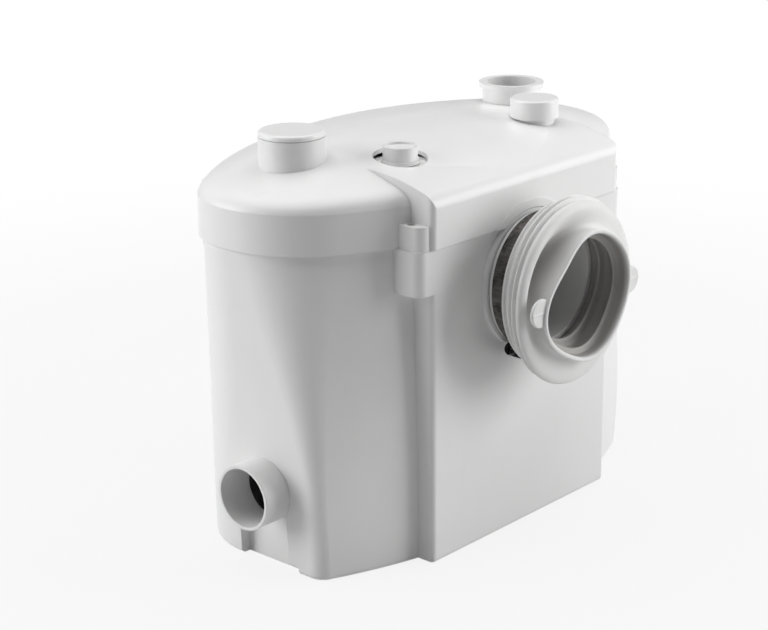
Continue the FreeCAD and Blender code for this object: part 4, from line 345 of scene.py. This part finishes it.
dress = {
    shellWhite: ["tank", "lid"],
    capWhite: ["inlet_plug", "vent_cap", "filter_knob", "discharge_socket"],
    blackRubber: ["side_flap", "check_flap", "lid_gasket", "pump_feet", "membrane", "discharge_bend"],
    brushedSteel: ["bend_clips", "casing_bolts", "lid_screws", "deck_screws", "cutting_plate", "cutter_knife",
                   "knife_bolt", "shaft", "flap_pin", "check_pin", "lever_pin", "switch_lever",
                   "capacitor_clip"],
    canSteel: ["motor_can"],
    darkBand: ["coupling_clamp"],
    blackSteel: ["clamp_housing", "clamp_screw"],
    greyPlastic: ["riser_pipe", "level_bell", "membrane_cup", "switch_deck", "filter_canister",
                  "level_plunger"],
    blackPlastic: ["flap_ring", "pump_casing", "impeller", "motor_end_cap", "microswitch", "cable_gland",
                   "gland_nut"],
    creamPlastic: ["terminal_block"],
    castMetal: ["bearing_bracket"],
    coreSteel: ["stator_core", "rotor_core"],
    lacqueredWire: ["windings"],
    bearingSteel: ["low_bearing_outer", "low_bearing_balls", "low_bearing_inner", "top_bearing_outer",
                   "top_bearing_balls", "top_bearing_inner"],
    ceramic: ["seal_seat", "seal_ring"],
    canAluminium: ["capacitor"],
    carbon: ["carbon_filter"],
}
for material, names in dress.items():
    for name in names:
        slots = nodes[name].data.materials
        slots.clear()
        slots.append(material)
print("materials on:", sum(len(names) for names in dress.values()), "nodes")


# New pieces

def gridMesh(name, points, closedAcross, closedAlong, material):
    # points[i, j] is a grid of places; faces join neighbours, and each direction may close on itself
    rows, columns = points.shape[:2]
    index = np.arange(rows * columns).reshape(rows, columns)
    if closedAlong:
        index = np.vstack([index, index[:1]])
    if closedAcross:
        index = np.hstack([index, index[:, :1]])
    quads = np.stack([index[:-1, :-1], index[1:, :-1], index[1:, 1:], index[:-1, 1:]], axis=-1)
    quads = quads.reshape(-1, 4)
    mesh = bpy.data.meshes.new(name)
    mesh.vertices.add(rows * columns)
    mesh.vertices.foreach_set("co", points.reshape(-1, 3).astype(np.float32).ravel())
    mesh.loops.add(quads.size)
    mesh.loops.foreach_set("vertex_index", quads.astype(np.int32).ravel())
    mesh.polygons.add(len(quads))
    mesh.polygons.foreach_set("loop_start", np.arange(0, quads.size, 4, dtype=np.int32))
    mesh.polygons.foreach_set("use_smooth", np.ones(len(quads), dtype=bool))
    mesh.update(calc_edges=True)
    mesh.validate()
    mesh.materials.append(material)
    piece = bpy.data.objects.new(name, mesh)
    bpy.context.scene.collection.objects.link(piece)
    return piece


def fullTurn(count):
    return np.linspace(0.0, 2 * np.pi, count, endpoint=False)[None, :]


def smoothLoop(corners, count):
    # closed smooth curve through the corner rows: each stretch between two corners is a cubic of them and of
    # their neighbours, and gets its share of the points by the square root of its chord
    corners = np.asarray(corners, float)
    following = np.roll(corners, -1, axis=0)
    shortest = 1e-6
    lengths = np.maximum(np.linalg.norm((following - corners)[:, :2], axis=1), shortest) ** 0.5
    knots = np.concatenate([[0.0], np.cumsum(lengths)])
    where = np.linspace(0.0, knots[-1], count, endpoint=False)
    piece = np.clip(np.searchsorted(knots, where, side="right") - 1, 0, len(corners) - 1)
    t = ((where - knots[piece]) / lengths[piece])[:, None]
    p0, p1, p2, p3 = (corners[(piece + step) % len(corners)] for step in (-1, 0, 1, 2))
    return 0.5 * (2 * p1 + (p2 - p0) * t + (2 * p0 - 5 * p1 + 4 * p2 - p3) * t ** 2
                  + (3 * p1 - p0 - 3 * p2 + p3) * t ** 3)


def easeBetween(value, start, end):
    # 0 up to the start, 1 from the end on, and a smooth step between; the end may be the smaller number
    share = np.clip((value - start) / (end - start), 0.0, 1.0)
    return share * share * (3 - 2 * share)


coupling = {
    # the middle drops from the inlet's level to the mouth's between these reaches
    "dropFrom": 33.6,
    "dropTo": 42.5,
    "around": 180,
    "along": 520,
    # reach from the flat face and radius, in millimetres: outside from the root to the mouth
    "outside": [
        (5.0, 46.5), (6.0, 46.7), (12.0, 46.7), (18.0, 46.8), (20.6, 48.3), (22.9, 52.6), (24.0, 56.2),
        (24.7, 58.0), (25.4, 58.4), (26.0, 57.9), (26.4, 56.4), (27.6, 56.6), (30.2, 58.5), (31.8, 60.6),
        (32.4, 61.9), (33.1, 62.2), (33.7, 61.6), (34.0, 60.0), (34.6, 59.5), (35.8, 61.0), (36.8, 63.2),
        (37.4, 64.0), (38.1, 64.1), (38.7, 63.3), (39.0, 62.2), (39.6, 62.0), (40.8, 63.3), (42.4, 63.9),
        (43.9, 63.0), (45.0, 60.6), (45.6, 56.8), (45.9, 52.4), (46.3, 48.6), (47.2, 45.9), (48.6, 45.0),
        (50.6, 45.1), (52.6, 45.6), (53.7, 46.1), (54.4, 46.1), (54.8, 45.6), (54.96, 44.9), (54.9, 44.1),
    ],
    # inside from the mouth back to the root; its first corners still belong to the rim
    "inside": [
        (54.5, 43.4), (53.6, 42.9), (50.5, 42.6), (47.2, 42.4), (45.9, 41.6), (45.2, 39.2), (44.5, 38.3),
        (43.7, 38.4), (43.1, 39.6), (42.4, 42.0), (41.0, 43.4), (37.5, 43.6), (35.0, 43.3), (33.8, 41.8),
        (33.1, 39.0), (32.4, 38.2), (31.5, 38.3), (30.9, 39.5), (30.2, 41.8), (28.6, 43.3), (25.6, 43.6),
        (24.3, 43.9), (20.0, 44.06), (12.0, 44.06), (6.0, 44.06), (5.1, 44.2), (4.9, 45.4),
    ],
    "rimCorners": 2,
    # uneven mouth: cosine and sine parts of one to four waves round it, in millimetres
    "mouthWaves": [(2.0, -1.6), (1.2, 2.0), (-1.5, -0.7), (1.2, 0.9)],
    "stiffReach": 42.0,
    "looseReach": 50.0,
    "stiffRadius": 60.0,
    "looseRadius": 50.0,
    "stiffInside": 20.0,
    "looseInside": 36.0,
    # the groove behind the mouth is pulled back most at one side
    "grooveDepth": 14.0,
    "grooveAngle": 142.0,
    "grooveWide": 42.0,
    "grooveRim": 59.5,
    "grooveRoot": 47.0,
    "grooveFullReach": 47.0,
    "grooveEndReach": 52.5,
    # painted shade: how much of the darker colour the groove's bottom gets
    "groovePaintedShade": 0.85,
}

# places of the coupling, in millimetres: the profile's root lies where the node's does, the clamp goes round
# the inlet, and the mount gives the mouth
clampLow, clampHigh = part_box("coupling_clamp")
inletLevel = 1000 * (clampLow.z + clampHigh.z) / 2
mouthLevel = 1000 * mounts["toilet_inlet"]["pos_m"][2]
flatFace = -1000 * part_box("toilet_coupling")[1].y - coupling["outside"][0][0]


def makeCoupling(look):
    # a closed profile turned round the inlet's axis; its middle drops from the inlet's level to the mouth's,
    # near the mouth its radius gains the waves, a cosine and a sine of each whole number of turns,
    # and the groove goes back by a bell curve of the angle
    inside = [0.0] * (len(look["outside"]) + look["rimCorners"])
    inside += [1.0] * (len(look["inside"]) - look["rimCorners"])
    profile = smoothLoop(np.column_stack([look["outside"] + look["inside"], inside]), look["along"])
    reach, radius, inside = profile[:, :1], profile[:, 1:2], np.clip(profile[:, 2:3], 0.0, 1.0)
    drop = np.clip((reach - look["dropFrom"]) / (look["dropTo"] - look["dropFrom"]), 0.0, 1.0)
    level = inletLevel + (mouthLevel - inletLevel) * drop
    angle = 2 * np.pi - fullTurn(look["around"])    # backwards, so that the faces point outwards
    cosines, sines = np.array(look["mouthWaves"]).T
    turns = np.arange(1, len(cosines) + 1)[:, None]
    waves = (cosines[:, None] * np.cos(turns * angle) + sines[:, None] * np.sin(turns * angle)).sum(axis=0)
    loose = easeBetween(reach, look["stiffReach"], look["looseReach"])
    loose = loose * easeBetween(radius, look["stiffRadius"], look["looseRadius"])
    loose = loose * (1 - inside) + easeBetween(reach, look["stiffInside"], look["looseInside"]) * inside
    groove = (1 - inside) * easeBetween(radius, look["grooveRim"], look["grooveRoot"])
    groove = groove * (1 - easeBetween(reach, look["grooveFullReach"], look["grooveEndReach"]))
    groove = groove * (reach > look["stiffReach"])
    bell = np.exp(-((np.degrees(angle) - look["grooveAngle"]) / look["grooveWide"]) ** 2)
    radius = radius + loose * waves[None, :]
    x = radius * np.cos(angle)
    z = level + radius * np.sin(angle)
    y = -(flatFace + reach - look["grooveDepth"] * groove * bell)
    piece = gridMesh("rubberCoupling", np.stack([x, y, z], axis=-1) / 1000, True, True, paleRubber)
    # painted shade: the inside past the rim's first corners, and the groove's bottom, get the darker colour
    # through the inside attribute
    paintedShade = inside + (1 - inside) * look["groovePaintedShade"] * groove * bell
    shade = piece.data.attributes.new("inside", "FLOAT", "POINT")
    shade.data.foreach_set("value", paintedShade.astype(np.float32).ravel())
    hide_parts("toilet_coupling")
    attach(piece, "station")


makeCoupling(coupling)


tabs = {
    "middle": 50.5,
    "radius": 10.2,
    "squeeze": 0.96,
    "belowMouth": 0.3,
    # reach of the two flat sides from the tank's flat face
    "low": 50.4,
    "high": 53.0,
    "round": 0.8,
    "innerReach": {"leftPullTab": 46.3, "rightPullTab": 47.4},
    "ridge": 0.35,
    "ridgeWide": 0.35,
    "ridgeDeep": 0.1,
    "around": 96,
    "rimRings": 17,
    "faceRings": 12,
    "faceShare": 0.92,
    "mergeWithin": 1e-6,
}


def closePoles(piece, within):
    # the rings that shrank to a point become one vertex, and the faces are turned outwards
    shape = bmesh.new()
    shape.from_mesh(piece.data)
    bmesh.ops.remove_doubles(shape, verts=shape.verts, dist=within)
    bmesh.ops.recalc_face_normals(shape, faces=shape.faces)
    shape.to_mesh(piece.data)
    shape.free()


def makeTabs(look):
    # each tab is a flat pillow: rings of a disc's outline, cut off straight beside the mouth; near both faces
    # the rings are drawn in by the sine of a half turn, and they shrink to a point in each face's middle
    angle = fullTurn(look["around"])
    turn = np.linspace(0.0, np.pi, look["rimRings"])[:, None]
    corner = look["round"]
    rim = look["radius"] - corner * (1 - np.sin(turn))
    lift = np.where(turn < np.pi / 2, look["low"] + corner * (1 - np.cos(turn)),
                    look["high"] - corner * (1 + np.cos(turn)))
    face = np.linspace(0.0, look["faceShare"], look["faceRings"])[:, None] * look["radius"]
    radius = np.vstack([face, rim, face[::-1]])
    lift = np.vstack([np.full_like(face, look["low"]), lift, np.full_like(face, look["high"])])
    rise = look["squeeze"] * radius * np.sin(angle)
    line = np.exp(-(rise / look["ridgeWide"]) ** 2) * (lift > look["high"] - look["ridgeDeep"])
    y = -(flatFace + lift + look["ridge"] * line)
    z = mouthLevel - look["belowMouth"] + rise
    for side, name in ((-1, "leftPullTab"), (1, "rightPullTab")):
        out = np.maximum(look["middle"] + radius * np.cos(angle), look["innerReach"][name])
        points = np.stack([side * out, y, z], axis=-1) / 1000
        piece = gridMesh(name, points[:, ::side], True, False, paleRubber)
        closePoles(piece, look["mergeWithin"])
        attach(piece, "station")


makeTabs(tabs)
print("rubber coupling made")


flapLip = {
    "around": 144,
    "along": 64,
    # depth in the side inlet's bore and distance from its wall, in millimetres: a thin sleeve beside the pipe
    "profile": [
        (27.0, 0.45), (27.15, 0.55), (33.7, 0.55), (33.85, 0.45),
        (33.85, 0.2), (33.7, 0.1), (27.15, 0.1), (27.0, 0.2),
    ],
}


def makeFlapLip(look):
    # a thin closed profile turned round the axis of the bore, whose mouth is the tank's leftmost edge
    bore = mounts["side_inlet"]
    boreMouth, boreRadius = 1000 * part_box("tank")[0].x, bore["dims"]["r_mm"]
    profile = smoothLoop(look["profile"], look["along"])
    depth, radius = profile[:, :1], boreRadius - profile[:, 1:]
    angle = fullTurn(look["around"])
    x = np.broadcast_to(boreMouth + depth, (look["along"], look["around"]))
    y = 1000 * bore["pos_m"][1] + radius * np.cos(angle)
    z = 1000 * bore["pos_m"][2] + radius * np.sin(angle)
    piece = gridMesh("sideFlapLip", np.stack([x, y, z], axis=-1) / 1000, True, True, blackRubber)
    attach(piece, "station")


makeFlapLip(flapLip)
print("lip of the side flap made")


# Floor, light and camera

studio = {
    "floorSize": 6.0,
    "floorSteps": 9,
    "floorLevel": -0.0002,
    "floorColour": (0.55, 0.55, 0.55),
    "shadowShare": 0.14,
    "shadowReach": 0.7,
    "shadowSoft": 0.35,
    "worldLight": 0.085,
    "lamps": {
        # name: place, aim, width, height, watts
        "leftSoftbox": ((-1.20, 0.95, 0.6), (0.0, 0.0, 0.12), 1.0, 1.1, 16.4),
        "rightSoftbox": ((1.0, -1.12, 0.5), (0.0, 0.0, 0.12), 1.0, 1.1, 16.8),
        "topSoftbox": ((0.1, 0.1, 1.7), (0.0, 0.0, 0.2), 1.8, 1.8, 23.4),
    },
}


def makeFloor(look):
    # a flat grid that glows white where it is looked at, less a share near the object that shows its shadow
    floorMat = newMaterial("paleFloor")
    seen = floorMat.make("LightPath", out="Is Camera Ray")
    for ray in ("Is Glossy Ray", "Is Transmission Ray"):
        seen = seen.maths("MAXIMUM", floorMat.make("LightPath", out=ray))
    far = floorMat.make("VectorMath", {"operation": "LENGTH"}, {0: floorMat.place()}, out=1)
    far = far.above(look["shadowReach"], look["shadowSoft"])
    share = seen * (far * look["shadowShare"] + (1 - look["shadowShare"]))
    plain = floorMat.make("BsdfDiffuse", {}, {"Color": colour(*look["floorColour"])})
    glow = floorMat.make("Emission", {}, {"Color": colour(1, 1, 1), "Strength": 1.0})
    mix = floorMat.make("MixShader", {}, {0: share, 1: plain, 2: glow})
    floorMat.make("OutputMaterial", {}, {"Surface": mix})
    steps = np.linspace(-look["floorSize"] / 2, look["floorSize"] / 2, look["floorSteps"])
    x, y = np.meshgrid(steps, steps, indexing="ij")
    points = np.stack([x, y, np.full_like(x, look["floorLevel"])], axis=-1)
    floor = gridMesh("studioFloor", points, False, False, floorMat.data)


def makeWorld(look):
    # white where the camera sees it, and a faint light for the object
    world = Recipe(bpy.data.worlds.new("paleWorld"))
    bpy.context.scene.world = world.data
    seen = world.make("LightPath", out="Is Camera Ray")
    soft = world.make("Background", {}, {"Color": colour(1, 1, 1), "Strength": look["worldLight"]})
    white = world.make("Background", {}, {"Color": colour(1, 1, 1), "Strength": 1.0})
    mix = world.make("MixShader", {}, {0: seen, 1: soft, 2: white})
    world.make("OutputWorld", {}, {"Surface": mix})


def makeLamps(look):
    for name, (place, aim, wide, high, watts) in look["lamps"].items():
        lamp = bpy.data.lights.new(name, "AREA")
        lamp.shape = "RECTANGLE"
        lamp.size = wide
        lamp.size_y = high
        lamp.energy = watts
        lampObject = bpy.data.objects.new(name, lamp)
        lampObject.location = place
        lampObject.rotation_mode = "QUATERNION"
        lampObject.rotation_quaternion = (Vector(aim) - Vector(place)).to_track_quat("-Z", "Y")
        bpy.context.scene.collection.objects.link(lampObject)


makeFloor(studio)
makeWorld(studio)
makeLamps(studio)


camera = {
    "place": (-1.0505, -0.9125, 0.5921),
    "yaw": 48.14,
    "pitch": 18.2,
    "roll": 0.5,
    "lens": 93.17,
    "sensorWidth": 36.0,
    "clipStart": 0.05,
}


def makeCamera(look):
    yaw, pitch, roll = (math.radians(look[key]) for key in ("yaw", "pitch", "roll"))
    ahead = Vector((math.sin(yaw) * math.cos(pitch), math.cos(yaw) * math.cos(pitch), -math.sin(pitch)))
    level = Vector((math.cos(yaw), -math.sin(yaw), 0.0))
    down = ahead.cross(level)
    right = level * math.cos(roll) + down * math.sin(roll)
    below = down * math.cos(roll) - level * math.sin(roll)
    turned = Matrix((right, -below, -ahead)).transposed().to_4x4()
    data = bpy.data.cameras.new("camera")
    data.lens = look["lens"]
    data.sensor_width = look["sensorWidth"]
    data.clip_start = look["clipStart"]
    piece = bpy.data.objects.new("camera", data)
    piece.matrix_world = Matrix.Translation(look["place"]) @ turned
    bpy.context.scene.collection.objects.link(piece)
    bpy.context.scene.camera = piece


makeCamera(camera)
bpy.context.scene.view_settings.view_transform = "Standard"
print("studio and camera made")

bpy.context.view_layer.update()
